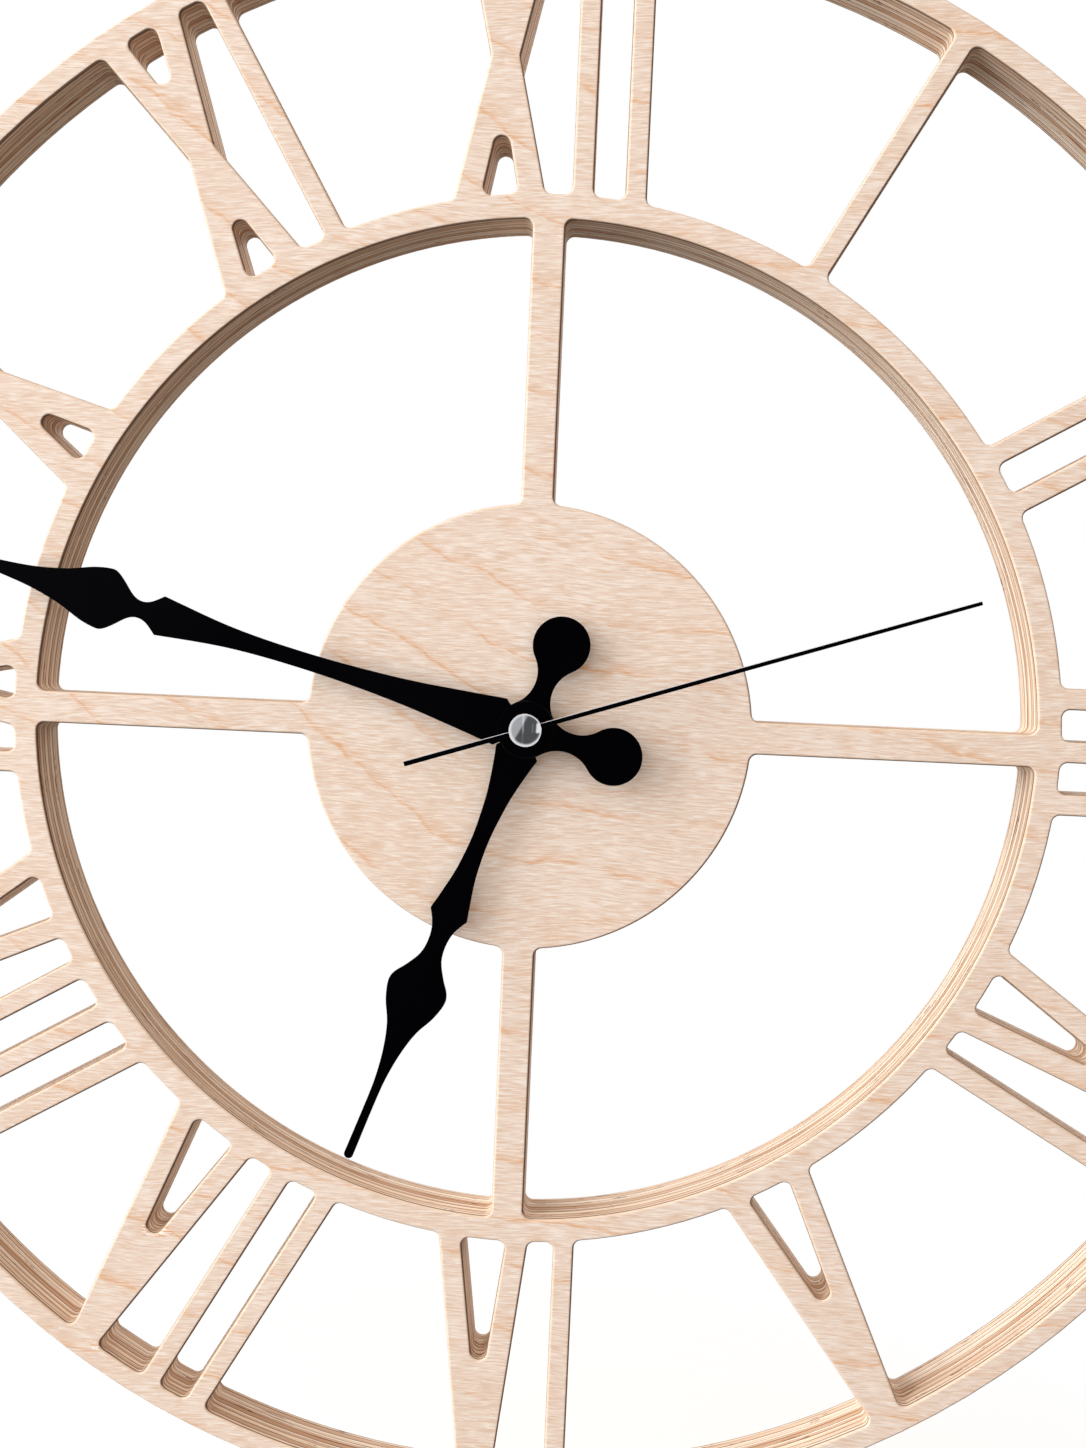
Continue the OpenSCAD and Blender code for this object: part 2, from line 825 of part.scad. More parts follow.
module circuit_board() {
    color("#2f6b46")
        out(board_pcb_back, board_pcb_back + pcb_t)
            difference() {
                box_between([pcb_left, pcb_top - pcb_h], [pcb_right, pcb_top]);
                for (at = pcb_pillars())
                    translate(at) circle(r = pin_r);
            }
}

module chip() {
    color("#101010")
        disc(chip_r, board_pcb_back + pcb_t, board_pcb_back + pcb_t + chip_t,
            [(pcb_left + pcb_right) / 2, pcb_mid]);
}

module crystal() {
    color(steel)
        translate([
            pcb_left + crystal_r,
            -(board_pcb_back + pcb_t + crystal_r),
            pcb_top - pcb_h + 1.2 * crystal_r
        ])
            rotate([0, 90, 0])
                cylinder(r = crystal_r, h = crystal_l);
}

// Motor

module coil_axis_cylinder(r, from_x, to_x) {
    translate([from_x, -coil_h, coil_at])
        rotate([0, 90, 0])
            cylinder(r = r, h = to_x - from_x);
}

module core_slot(from_x, to_x) {
    translate([from_x, -core_front, coil_at - core_w / 2])
        cube([to_x - from_x, stator_t, core_w]);
}

module coil_bobbin() {
    right = bobbin_left + coil_l;
    color(nylon)
        difference() {
            union() {
                coil_axis_cylinder(bobbin_tube_r, bobbin_left, right);
                coil_axis_cylinder(bobbin_r, bobbin_left, bobbin_left + bobbin_t);
                coil_axis_cylinder(bobbin_r, right - bobbin_t, right);
            }
            core_slot(bobbin_left - over, right + over);
        }
}

module coil_winding() {
    color(copper)
        difference() {
            coil_axis_cylinder(winding_r, bobbin_left + bobbin_t, bobbin_left + coil_l - bobbin_t);
            coil_axis_cylinder(bobbin_tube_r, bobbin_left, bobbin_left + coil_l);
        }
}

module coil_core() {
    color(steel) core_slot(left_arm_x, right_arm_x + stator_arm_w);
}

module stator() {
    slit_w = air_gap;
    color(steel)
        out(stator_back, stator_front)
            difference() {
                union() {
                    translate(rotor_at) circle(r = pole_r);
                    box_between([left_arm_x, rotor_at.y], [left_arm_x + stator_arm_w, arm_top]);
                    box_between([rotor_at.x, cross_arm_z],
                        [right_arm_x + stator_arm_w, cross_arm_z + stator_arm_w * 0.75]);
                    box_between([right_arm_x, cross_arm_z],
                        [right_arm_x + stator_arm_w, arm_top]);
                }
                translate(rotor_at) {
                    circle(r = pole_hole_r);
                    square([slit_w, 2 * pole_r - stator_ring_w / 2], center = true);
                }
            }
}

module train_plate() {
    color(nylon)
        out(plate_back, plate_front)
            difference() {
                box_between(pillar_places[0] - [plate_margin, plate_margin],
                    pillar_places[2] + [plate_margin, plate_margin]);
                circle(r = arbor_r + running_fit);
                for (at = [third_at, intermediate_at, rotor_at])
                    translate(at) circle(r = pivot_r + running_fit);
                for (at = pillar_places)
                    translate(at) circle(r = pin_r);
                translate(knob_at) circle(r = knob_shaft_r + 2 * level_gap);
            }
}

// An arbor with thin pivots at its ends
module arbor(low, high, at) {
    disc(arbor_r, low, high, at);
    disc(pivot_r, low - pivot_l - slack, high + pivot_l + slack, at);
}

module toothed(n, m, turn, low, high, at = [0, 0]) {
    out(low, high)
        translate(at)
            gear_outline(n, m, turn);
}

module rotor_magnet() {
    mid = (stator_back + stator_front) / 2;
    color("#3a3a3e") tube(magnet_r, arbor_r + seat_gap, mid - magnet_l / 2,
        mid + magnet_l / 2, rotor_at);
}

module rotor_pinion() {
    color(nylon) {
        toothed(rotor_n, rotor_module, rotor_turn, intermediate_back - pinion_over,
            intermediate_back + wheel_t + pinion_over, rotor_at);
        arbor(cover_t + slack, plate_back - slack, rotor_at);
    }
}

module intermediate_wheel() {
    color(nylon) {
        toothed(intermediate_n, rotor_module, 0, intermediate_back,
            intermediate_back + wheel_t, intermediate_at);
        toothed(intermediate_pinion_n, second_module, intermediate_turn,
            second_back - pinion_over, second_back + wheel_t + pinion_over, intermediate_at);
        arbor(cover_t + slack, plate_back - slack, intermediate_at);
    }
}

module second_wheel() {
    color(nylon) {
        toothed(second_n, second_module, 0, second_back, second_back + wheel_t);
        toothed(second_pinion_n, third_module, 0, third_back - pinion_over,
            third_front + pinion_over);
        disc(arbor_r, cover_t + slack, second_hand_front);
        disc(pivot_r, cover_t - pivot_l, cover_t + slack);
    }
}

module third_wheel() {
    color(nylon) {
        toothed(third_n, third_module, third_turn, third_back, third_front, third_at);
        toothed(third_pinion_n, centre_module, 0, third_front, third_pinion_top(), third_at);
        arbor(plate_front + slack, third_pinion_top() + shaft_shoulder, third_at);
    }
}

module centre_wheel() {
    color(nylon)
        out(centre_back, centre_front)
            difference() {
                gear_outline(centre_n, centre_module, centre_turn);
                circle(r = minute_tube_r + running_fit);
            }
}

module clutch_spring() {
    color(steel) tube(clutch_r, minute_tube_r + seat_gap, clutch_back, cannon_back);
}

module cannon_pinion() {
    color(nylon)
        difference() {
            union() {
                disc(flange_r, flange_back, flange_back + flange_t);
                disc(minute_tube_r, flange_back, minute_tube_front);
                toothed(cannon_n, works_module, 0, cannon_back, works_front + pinion_over);
            }
            disc(arbor_r + running_fit, 0, minute_tube_front + over);
        }
}

module minute_works_wheel() {
    color(nylon)
        difference() {
            union() {
                toothed(works_n, works_module, works_turn, works_back, works_front, works_at);
                toothed(works_pinion_n, hour_module, 0, works_front, hour_front + pinion_over,
                    works_at);
            }
            disc(post_r + running_fit, 0, case_depth, works_at);
        }
}

module hour_wheel() {
    color(nylon)
        difference() {
            union() {
                toothed(hour_n, hour_module, hour_turn, hour_back, hour_front);
                disc(hour_tube_r + wheel_t, hour_front, bush_back - 2 * slack);
                disc(hour_tube_r, hour_back, hour_tube_front);
            }
            disc(minute_tube_r + running_fit, 0, hour_tube_front + over);
        }
}

module setting_knob() {
    pinion_front = works_front + pinion_over;
    color("#d8d8d4") {
        out(knob_back, knob_back + knob_t)
            translate(knob_at)
                difference() {
                    circle(r = knob_r);
                    for (k = [1 : knurl_n])
                        translate(polar(knob_r, k * 360 / knurl_n))
                            circle(r = knurl_r);
                }
        disc(knob_shaft_r, knob_back + knob_t, works_back - pinion_over, knob_at);
        toothed(knob_n, works_module, knob_turn, works_back - pinion_over, pinion_front, knob_at);
        disc(post_r, pinion_front, front_inner - slack, knob_at);
    }
}

// Hands

// Two discs and the neck between them, whose sides are arcs that touch both discs
module tail(at, r, neck_w) {
    neck = neck_w / 2;
    arc_r = (pow(at / 2, 2) + pow(neck, 2) - r * r) / (2 * (r - neck));
    arc_x = arc_r + neck;
    touch = r / (arc_r + r) * [arc_x, at / 2];
    circle(r = r);
    translate([0, -at]) circle(r = r);
    difference() {
        box_between([-touch.x, touch.y - at], [touch.x, -touch.y]);
        for (side = [-1, 1])
            translate([side * arc_x, -at / 2])
                circle(r = arc_r);
    }
}

module hand_outline(length, blade_shares, leaf_shares) {
    half = leaf_w / 2;
    stations = concat(curve(blade_shares), curve(leaf_shares));
    side = [for (s = stations) [s[1] * half, s[0] * length]];
    tip = leaf_shares[len(leaf_shares) - 1];
    tip_r = tip[1] * half;
    polygon(concat([[0, 0]], side, [[tip_r, length - tip_r], [-tip_r, length - tip_r]],
        reversed([for (p = side) [-p.x, p.y]])));
    translate([0, length - tip_r]) circle(r = tip_r);
    tail(tail_disc_at, hand_disc_r, tail_neck_w);
}

module hour_hand() {
    color(black)
        out(hour_hand_back, hour_hand_front)
            rotate(-hour_rest)
                difference() {
                    hand_outline(hour_len, hour_blade_shares, hour_leaf_shares);
                    circle(r = hour_tube_r + seat_gap);
                }
}

module hour_collet() {
    color(brass)
        tube(hour_collet_r, hour_tube_r + seat_gap, hour_hand_back - hour_collet_l,
            hour_hand_back);
}

module minute_hand() {
    color(black) {
        out(minute_hand_back, minute_hand_front)
            rotate(-minute_rest)
                difference() {
                    hand_outline(minute_len, minute_blade_shares, minute_leaf_shares);
                    circle(r = minute_tube_r + seat_gap);
                }
        tube(boss_step_r, minute_tube_r + seat_gap, minute_hand_front,
            minute_hand_front + boss_step_t);
    }
}

module minute_collet() {
    color(brass)
        tube(minute_collet_r, minute_tube_r + seat_gap, minute_hand_back - minute_collet_l,
            minute_hand_back);
}

module second_hand() {
    color(black)
        out(second_hand_back, second_hand_front)
            rotate(-second_rest)
                difference() {
                    union() {
                        polygon([
                            [-second_w / 2, -second_tail],
                            [second_w / 2, -second_tail],
                            [second_tip_w / 2, second_len],
                            [-second_tip_w / 2, second_len]
                        ]);
                        circle(r = second_disc_r);
                    }
                    circle(r = arbor_r + seat_gap);
                }
}

module second_tube() {
    color(brass)
        tube(second_tube_r, arbor_r + seat_gap, second_hand_back - second_tube_l,
            second_hand_back);
}

// A slice of a sphere that lies on the second hand
module cap() {
    sphere_r = (cap_r * cap_r + cap_h * cap_h) / (2 * cap_h);
    color(steel)
        rotate([90, 0, 0])
            intersection() {
                translate([0, 0, second_hand_front + cap_h - sphere_r]) sphere(r = sphere_r);
                translate([0, 0, second_hand_front]) cylinder(r = cap_r + over, h = cap_h + over);
            }
}

dial();
hanger();
gasket();
threaded_bush();
dial_washer();
fixing_nut();
case_front();
case_rear();
battery();
positive_contact();
negative_contact();
circuit_board();
chip();
crystal();
coil_bobbin();
coil_winding();
coil_core();
stator();
train_plate();
rotor_magnet();
rotor_pinion();
intermediate_wheel();
second_wheel();
third_wheel();
centre_wheel();
clutch_spring();
cannon_pinion();
minute_works_wheel();
hour_wheel();
setting_knob();
hour_hand();
hour_collet();
minute_hand();
minute_collet();
second_hand();
second_tube();
cap();
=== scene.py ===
"""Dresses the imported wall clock: plywood dial, hands, movement, light and camera."""

import json
import math

import bmesh
import bpy
from bpy.props import FloatProperty, FloatVectorProperty, IntProperty, PointerProperty
from mathutils import Matrix, Vector


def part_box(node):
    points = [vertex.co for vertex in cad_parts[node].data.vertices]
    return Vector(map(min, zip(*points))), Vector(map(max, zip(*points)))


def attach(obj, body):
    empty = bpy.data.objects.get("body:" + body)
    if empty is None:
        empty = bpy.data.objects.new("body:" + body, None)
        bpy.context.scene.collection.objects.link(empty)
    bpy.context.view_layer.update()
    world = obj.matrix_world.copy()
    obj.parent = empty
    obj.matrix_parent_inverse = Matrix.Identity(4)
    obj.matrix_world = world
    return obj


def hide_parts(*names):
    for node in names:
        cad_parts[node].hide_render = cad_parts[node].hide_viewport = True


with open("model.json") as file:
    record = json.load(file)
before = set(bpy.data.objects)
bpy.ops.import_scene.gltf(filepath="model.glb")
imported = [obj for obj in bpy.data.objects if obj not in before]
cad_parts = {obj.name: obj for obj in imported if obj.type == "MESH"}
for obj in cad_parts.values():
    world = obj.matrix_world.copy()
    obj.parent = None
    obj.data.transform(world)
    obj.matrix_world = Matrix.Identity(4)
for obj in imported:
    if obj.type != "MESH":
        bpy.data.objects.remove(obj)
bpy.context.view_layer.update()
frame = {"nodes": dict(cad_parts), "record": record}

bl_info = {
    "name": "Wooden wall clock",
    "version": (1, 0, 0),
    "blender": (4, 5, 0),
    "location": "View3D > Sidebar > Wall clock",
    "description": "Plywood dial, hands, quartz movement and studio for the packed wall clock",
    "category": "Object",
}

MM = 0.001
NODES = frame["nodes"]
BODY_OF = {node: body for body, nodes in frame["record"]["behaviour"]["bodies"].items() for node in nodes}
SLOT_OF = {row["node"]: row["material_slot"] for row in frame["record"]["subparts"]}


def linear(red, green, blue):
    """A colour as a screen shows it, from 0 to 255, turned into the linear values that shaders take."""
    return tuple(
        c / 12.92 if c <= 0.04045 else ((c + 0.055) / 1.055) ** 2.4
        for c in (red / 255, green / 255, blue / 255)
    )


def colour_setting(name, description, default):
    return FloatVectorProperty(
        name=name, description=description, subtype="COLOR", size=3, min=0, max=1, default=default
    )


# Sizes and colours that a user may change


class ClockWood(bpy.types.PropertyGroup):
    board_back: FloatProperty(
        name="Back of the board", description="Distance from the wall to the back of the board",
        default=-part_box("dial")[1].y, unit="LENGTH")
    board_front: FloatProperty(
        name="Front of the board", description="Distance from the wall to the front of the board",
        default=-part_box("dial")[0].y, unit="LENGTH")
    edge: FloatProperty(
        name="Sanded edge", description="Radius that sanding has left on the board's edges",
        default=0.7 * MM, min=0.05 * MM, max=1 * MM, unit="LENGTH")
    plies: IntProperty(name="Plies", description="Number of veneers in the board", default=9, min=3, max=15)
    pale: colour_setting(
        "Pale streaks", "Colour of the fine pale streaks in the veneer", linear(254, 246, 238))
    veneer: colour_setting("Veneer", "Main colour of the face veneer", linear(240, 223, 209))
    tan: colour_setting("Tan grain", "Colour between the pale streaks", linear(229, 204, 182))
    ring_line: colour_setting("Growth lines", "Colour of the soft growth lines", linear(228, 176, 128))
    eased: colour_setting(
        "Eased edge", "Colour of the veneer where the edge is sanded", linear(244, 220, 192))
    cut_pale: colour_setting(
        "Pale line", "Colour of the palest lines in the cut edge", linear(255, 248, 236))
    cut_long: colour_setting(
        "Cut along the grain", "Colour of a ply cut along its grain", linear(245, 224, 202))
    cut_end: colour_setting(
        "Cut across the grain", "Colour of a ply cut across its grain", linear(200, 160, 128))
    # The cut corner colour is also painted shade on edges that face down to the right, and on the back ply
    corner: colour_setting(
        "Cut corner", "Colour of the line where the sanded edge meets the cut", linear(90, 58, 44))
    glue: colour_setting("Glue line", "Colour of the glue between two plies", linear(92, 54, 34))
    void: colour_setting("Void", "Colour of the small gaps in the inner plies", linear(96, 52, 30))


class ClockHands(bpy.types.PropertyGroup):
    edge: FloatProperty(
        name="Edge", description="Radius on the edges of the stamped hands",
        default=0.1 * MM, min=0.02 * MM, max=0.2 * MM, unit="LENGTH")
    paint: colour_setting("Paint", "Black paint of the hands", linear(1, 1, 3))
    # Painted highlight: the second hand's upper edge gets this bright colour for the light it reflects from
    # above, not for rubbed paint
    edge_highlight_colour: colour_setting(
        "Bare edge", "Upper edge of the second hand, rubbed bright", linear(214, 214, 218))
    bead: FloatProperty(
        name="Cap bead", description="Radius of the bright bead round the cap's dome",
        default=0.5 * MM, min=0.1 * MM, max=1 * MM, unit="LENGTH")


class ClockMovement(bpy.types.PropertyGroup):
    case_edge: FloatProperty(
        name="Case edge", description="Radius on the edges of the moulded case",
        default=0.25 * MM, min=0.05 * MM, max=0.5 * MM, unit="LENGTH")
    metal_edge: FloatProperty(
        name="Metal edge", description="Radius on the edges of turned and stamped metal",
        default=0.08 * MM, min=0.02 * MM, max=0.2 * MM, unit="LENGTH")
    plastic: colour_setting("Case plastic", "Colour of the movement's case", linear(30, 30, 32))
    jacket: colour_setting("Battery jacket", "Colour of the battery's jacket", linear(60, 66, 76))


class ClockStudio(bpy.types.PropertyGroup):
    key: FloatProperty(
        name="Key lamp", description="Power of the lamp that throws the shadows", default=18.0, unit="POWER")
    side: FloatProperty(
        name="Side lamp", description="Power of the wide lamp at the left", default=108.0, unit="POWER")
    back: FloatProperty(
        name="Back lamp", description="Power of the lamp behind the clock", default=28.0, unit="POWER")
    front: FloatProperty(
        name="Front lamp", description="Power of the broad lamp behind the camera",
        default=12.5, unit="POWER")
    ambient: FloatProperty(
        name="Ambient", description="Strength of the light from all round", default=0.28, min=0, max=1)
    floor_z: FloatProperty(
        name="Floor", description="Height of the floor, which lies below the clock's axis",
        default=-0.75, unit="LENGTH")


GROUPS = {"clock_wood": ClockWood, "clock_hands": ClockHands, "clock_movement": ClockMovement,
          "clock_studio": ClockStudio}


# Wiring of materials and surroundings

# Noise stays mostly between these two values
NOISE_LOW, NOISE_HIGH = 0.3, 0.7

# How much the painted shade on the sanded edge follows a face that looks right, and one that looks down
SHADE_RIGHT, SHADE_DOWN = 0.8, 0.6


class Wiring:
    """The nodes of a material or of the surroundings while they are wired."""

    def __init__(self, tree):
        self.tree = tree
        tree.nodes.clear()

    def feed(self, socket, value):
        """Links another socket or sets a value, and makes a colour opaque."""
        if isinstance(value, bpy.types.NodeSocket):
            self.tree.links.new(value, socket)
        elif socket.type == "RGBA":
            socket.default_value = (*value[:3], 1.0)
        else:
            socket.default_value = value

    def add(self, kind, inputs=None, **settings):
        made = self.tree.nodes.new(kind)
        for key, value in settings.items():
            setattr(made, key, value)
        for key, value in (inputs or {}).items():
            self.feed(made.inputs[key], value)
        return made

    def apart(self, vector):
        """The vector's x, y and z."""
        return self.add("ShaderNodeSeparateXYZ", {0: vector}).outputs

    def calc(self, operation, first, second=0.0, third=0.0):
        return self.add("ShaderNodeMath", {0: first, 1: second, 2: third}, operation=operation).outputs[0]

    def times(self, first, second):
        return self.calc("MULTIPLY", first, second)

    def plus(self, first, second):
        return self.calc("ADD", first, second)

    def spread(self, value, low, high, to_low=0.0, to_high=1.0):
        """Turns low to high softly into to_low to to_high, also where low is the larger."""
        made = self.add(
            "ShaderNodeMapRange",
            {"Value": value, "From Min": low, "From Max": high, "To Min": to_low, "To Max": to_high},
            interpolation_type="SMOOTHSTEP")
        return made.outputs["Result"]

    def mix(self, share, first, second):
        """A number between first and second."""
        return self.add("ShaderNodeMix", {0: share, 2: first, 3: second}, data_type="FLOAT").outputs[0]

    def blend(self, share, first, second):
        """A colour between first and second."""
        return self.add("ShaderNodeMix", {0: share, 6: first, 7: second}, data_type="RGBA").outputs[2]


class Finish(Wiring):
    """A procedural material while it is wired. Patterns read Object coordinates in millimetres."""

    def __init__(self, name, **shader):
        self.material = bpy.data.materials.new(name)
        self.material.use_nodes = True
        super().__init__(self.material.node_tree)
        self.shader = self.add("ShaderNodeBsdfPrincipled")
        self.add("ShaderNodeOutputMaterial", {"Surface": self.shader.outputs["BSDF"]})
        for key, value in shader.items():
            self.set(key.replace("_", " ").title().replace("Ior", "IOR"), value)
        self.spot = self.stretch(self.add("ShaderNodeTexCoord").outputs["Object"], 1 / MM, 1 / MM, 1 / MM)
        self.x, self.y, self.z = self.apart(self.spot)

    def set(self, socket, value):
        self.feed(self.shader.inputs[socket], value)

    def normal(self):
        """How far the surface faces along x, y and z."""
        return self.apart(self.add("ShaderNodeTexCoord").outputs["Normal"])

    def facing(self):
        """The same without sign."""
        return [self.calc("ABSOLUTE", part) for part in self.normal()]

    def shaded_side(self):
        """How far the surface faces down to the right, away from the lamps, where the sanded edge gets
        painted shade.
        """
        right, _, up = self.normal()
        down = self.times(up, -SHADE_DOWN)
        return self.calc("MAXIMUM", self.calc("MULTIPLY_ADD", right, SHADE_RIGHT, down), down)

    def radius(self):
        """Distance from the hands' axis."""
        squares = self.plus(self.calc("POWER", self.x, 2), self.calc("POWER", self.z, 2))
        return self.calc("POWER", squares, 0.5)

    def stretch(self, vector, x, y, z):
        return self.add("ShaderNodeVectorMath", {0: vector, 1: (x, y, z)}, operation="MULTIPLY").outputs[0]

    def point(self, x, y, z):
        return self.add("ShaderNodeCombineXYZ", {0: x, 1: y, 2: z}).outputs[0]

    def noise(self, vector, detail=2.0, roughness=0.5):
        made = self.add(
            "ShaderNodeTexNoise", {"Vector": vector, "Scale": 1.0, "Detail": detail, "Roughness": roughness})
        return made.outputs["Fac"]

    def streaks(self, x, y, z, detail=2.0, roughness=0.5):
        """Noise with that many waves to the millimetre along x, y and z."""
        return self.noise(self.stretch(self.spot, x, y, z), detail, roughness)

    def mottle(self, waves, detail=2.0, roughness=0.5):
        """Noise that is alike in every direction."""
        return self.streaks(waves, waves, waves, detail, roughness)

    def cells(self, count):
        """Random cells, that many to the millimetre."""
        spot = self.stretch(self.spot, count, count, count)
        return self.add("ShaderNodeTexVoronoi", {"Vector": spot, "Scale": 1.0}).outputs

    def tint(self, share, first, second):
        self.set("Base Color", self.blend(share, first, second))

    def rough(self, pattern, low, high):
        self.set("Roughness", self.spread(pattern, NOISE_LOW, NOISE_HIGH, low, high))

    def emboss(self, height, depth, strength):
        """Relief of that depth in millimetres."""
        made = self.add("ShaderNodeBump", {"Height": height, "Distance": depth * MM, "Strength": strength})
        self.set("Normal", made.outputs["Normal"])


# Wood

# Growth lines: their pitch, fall for each millimetre to the right, bend and wobble, in millimetres
LINE_PITCH = 15.5
LINE_FALL = 0.14
LINE_BEND = 26
LINE_WOBBLE = 7

# Left of the axis the lines fall more steeply: by the least below the first height, and by the most above
# the second
STEEP_FROM, STEEP_TO = -70, -5
STEEP_LEAST, STEEP_MOST = 0.08, 0.42

# Centre x and z, half length and half height of each torn place, in millimetres
TORN = ((-89.6, -132.6, 4.2, 1.9), (-104, -164.4, 2, 1.2), (-81.8, -170.3, 2.2, 0.8), (-31.5, -179.9, 2.5, 1),
        (-103.6, 18.5, 2.2, 1.2), (-6.9, -122.2, 2, 1))

# Plies counted from the back: the darkest, and those with a pale line beside their glue
DARK_PLY = 4
PALE_LINES = (2, 3, 5)

# How far a glue line strays, in plies
PLY_STRAY = 0.5

WOOD_GLOSS = 0.06
WOOD_RELIEF = 0.07


def veneer_grain(f, wood):
    """Face veneer with its grain along x: fine streaks, warm patches and soft growth lines."""
    drift = f.streaks(0.016, 0, 0.03, 1)
    ripple = f.streaks(0.05, 0, 0.2, 1)
    waved = f.plus(f.z, f.calc("MULTIPLY_ADD", ripple, 1.5, f.times(drift, 7)))
    fibres = f.noise(f.point(f.times(f.x, 0.2), 0, f.times(waved, 2.9)), 2, 0.55)
    threads = f.noise(f.point(f.times(f.x, 0.1), 3.7, f.times(waved, 1.5)), 1)
    patches = f.streaks(0.014, 0, 0.032)
    stains = f.streaks(0.04, 2, 0.11, 3, 0.6)
    grain = f.blend(f.spread(fibres, 0.36, 0.5), wood.tan, wood.veneer)

    # Each pattern with the values where it starts and is full, its share and its colour
    for pattern, start, full, share, colour in (
            (patches, 0.45, 0.7, 0.35, wood.tan), (stains, 0.58, 0.72, 0.28, wood.ring_line),
            (threads, 0.44, 0.34, 0.3, wood.tan), (fibres, 0.54, 0.6, 0.65, wood.pale),
            (threads, 0.55, 0.65, 0.3, wood.pale)):
        grain = f.blend(f.spread(pattern, start, full, 0.0, share), grain, colour)
    grain = f.blend(growth_lines(f, fibres), grain, wood.ring_line)
    return torn_places(f, wood, grain), fibres, threads


def growth_lines(f, fibres):
    """Lines that slope down to the right, steeper left of the hub, each with one soft side."""
    bend = f.streaks(0.012, 0, 0.017, 1)
    wobble = f.streaks(0.07, 0, 0.1)
    steep = f.times(f.calc("MINIMUM", f.x, 0), f.spread(f.z, STEEP_FROM, STEEP_TO, STEEP_LEAST, STEEP_MOST))
    slope = f.plus(
        f.calc("MULTIPLY_ADD", f.x, LINE_FALL, steep),
        f.calc("MULTIPLY_ADD", bend, LINE_BEND, f.calc("MULTIPLY_ADD", wobble, LINE_WOBBLE, f.z)))
    step = f.calc("FRACT", f.calc("DIVIDE", slope, LINE_PITCH))
    core = f.times(f.spread(step, 0.1, 0.045), f.spread(step, 0.0, 0.04))
    tail = f.times(f.spread(step, 0.32, 0.06), f.spread(step, 0.0, 0.06))
    line = f.calc("MULTIPLY_ADD", core, 0.55, f.times(tail, 0.3))
    breaks = f.spread(f.streaks(0.04, 4, 0.09), 0.36, 0.58, 0.15, 1.0)
    return f.times(line, f.times(breaks, f.spread(fibres, 0.62, 0.42, 0.35, 1.0)))


def torn_places(f, wood, grain):
    """Small places where the cutter tore the veneer."""
    ragged = f.streaks(0.5, 0, 1.6)
    streak = f.streaks(0.3, 0, 2.6, 1)
    for torn_x, torn_z, half_long, half_high in TORN:
        across = f.calc("DIVIDE", f.calc("SUBTRACT", f.x, torn_x), half_long)
        up = f.calc("DIVIDE", f.calc("SUBTRACT", f.z, torn_z), half_high)
        far = f.plus(f.times(across, across), f.times(up, up))
        inside = f.spread(f.calc("MULTIPLY_ADD", ragged, 1.6, far), 1.9, 1.65)
        bare = f.blend(f.spread(streak, 0.42, 0.56), wood.ring_line, wood.pale)
        grain = f.blend(f.times(inside, 0.95), grain, bare)
    return grain


def cut_plies(f, wood, face_x, face_z):
    """Cut edge: crossed plies of unlike tone, the lines between them and small voids."""
    ply_t = (wood.board_front - wood.board_back) / MM / wood.plies
    depth = f.calc("DIVIDE", f.calc("SUBTRACT", f.times(f.y, -1), wood.board_back / MM), ply_t)
    stray = f.streaks(0.04, 0.2, 0.04)
    depth = f.plus(depth, f.calc("MULTIPLY_ADD", stray, PLY_STRAY, -PLY_STRAY / 2))
    within = f.calc("FRACT", depth)
    ply = f.calc("FLOOR", depth)

    # Every second ply lies across, so it shows its end grain where the others show their side
    crossed = f.calc("MODULO", ply, 2)
    end = f.plus(f.times(f.calc("POWER", face_x, 2), f.calc("SUBTRACT", 1, crossed)),
                 f.times(f.calc("POWER", face_z, 2), crossed))
    tone = f.noise(f.point(f.times(f.x, 0.02), f.times(ply, 3.3), f.times(f.z, 0.02)), 1)
    middle = f.spread(f.calc("ABSOLUTE", f.calc("SUBTRACT", depth, DARK_PLY + 0.5)), 0.6, 0.45)
    dark = f.calc("MULTIPLY_ADD", middle, 0.6, f.calc("MULTIPLY_ADD", tone, 0.7, f.times(end, 0.4)))
    cut = f.blend(f.spread(dark, 0.3, 1.0), wood.cut_long, wood.cut_end)

    # Fine lines in each ply, broad and thin, with the value where the dark ones start and their share
    layers = f.streaks(0.02, 2.2, 0.02, 2, 0.6)
    hairs = f.streaks(0.05, 7, 0.05, 2, 0.6)
    for lines, dark_from, dark_share in ((layers, 0.46, 0.6), (hairs, 0.44, 0.5)):
        cut = f.blend(f.spread(lines, 0.56, 0.66, 0.0, 0.5), cut, wood.cut_pale)
        cut = f.blend(f.spread(lines, dark_from, 0.34, 0.0, dark_share), cut, wood.cut_end)

    # Glue between the plies, bolder in places, and the pale lines beside it
    inner = f.times(f.spread(depth, 0.5, 0.6), f.spread(depth, wood.plies - 0.5, wood.plies - 0.6))
    near_glue = f.calc("MINIMUM", within, f.calc("SUBTRACT", 1, within))
    bold = f.spread(f.streaks(0.05, 0.75, 0.05, 1), 0.3, 0.6, 0.35, 0.9)
    glued = f.times(f.spread(near_glue, 0.12, 0.05), f.times(inner, bold))
    cut = f.blend(glued, cut, wood.glue)
    for ply_number in PALE_LINES:
        away = f.calc("ABSOLUTE", f.calc("SUBTRACT", depth, ply_number + 0.2))
        cut = f.blend(f.spread(away, 0.16, 0.08, 0.0, 0.95), cut, wood.cut_pale)

    # Painted shade: the ply at the back darkens towards its face
    cut = f.blend(f.spread(depth, 0.6, 0.1, 0.0, 0.6), cut, wood.corner)

    long_voids = f.spread(f.streaks(0.08, 1.6, 0.08, 2, 0.6), 0.66, 0.69)
    void = f.times(long_voids, f.spread(f.streaks(0.7, 0.4, 0.7, 1), 0.38, 0.45))
    cut = f.blend(f.times(void, 0.85), cut, wood.void)
    relief = f.plus(f.times(glued, -0.6), f.calc("MULTIPLY_ADD", void, -1.5, layers))
    return cut, relief


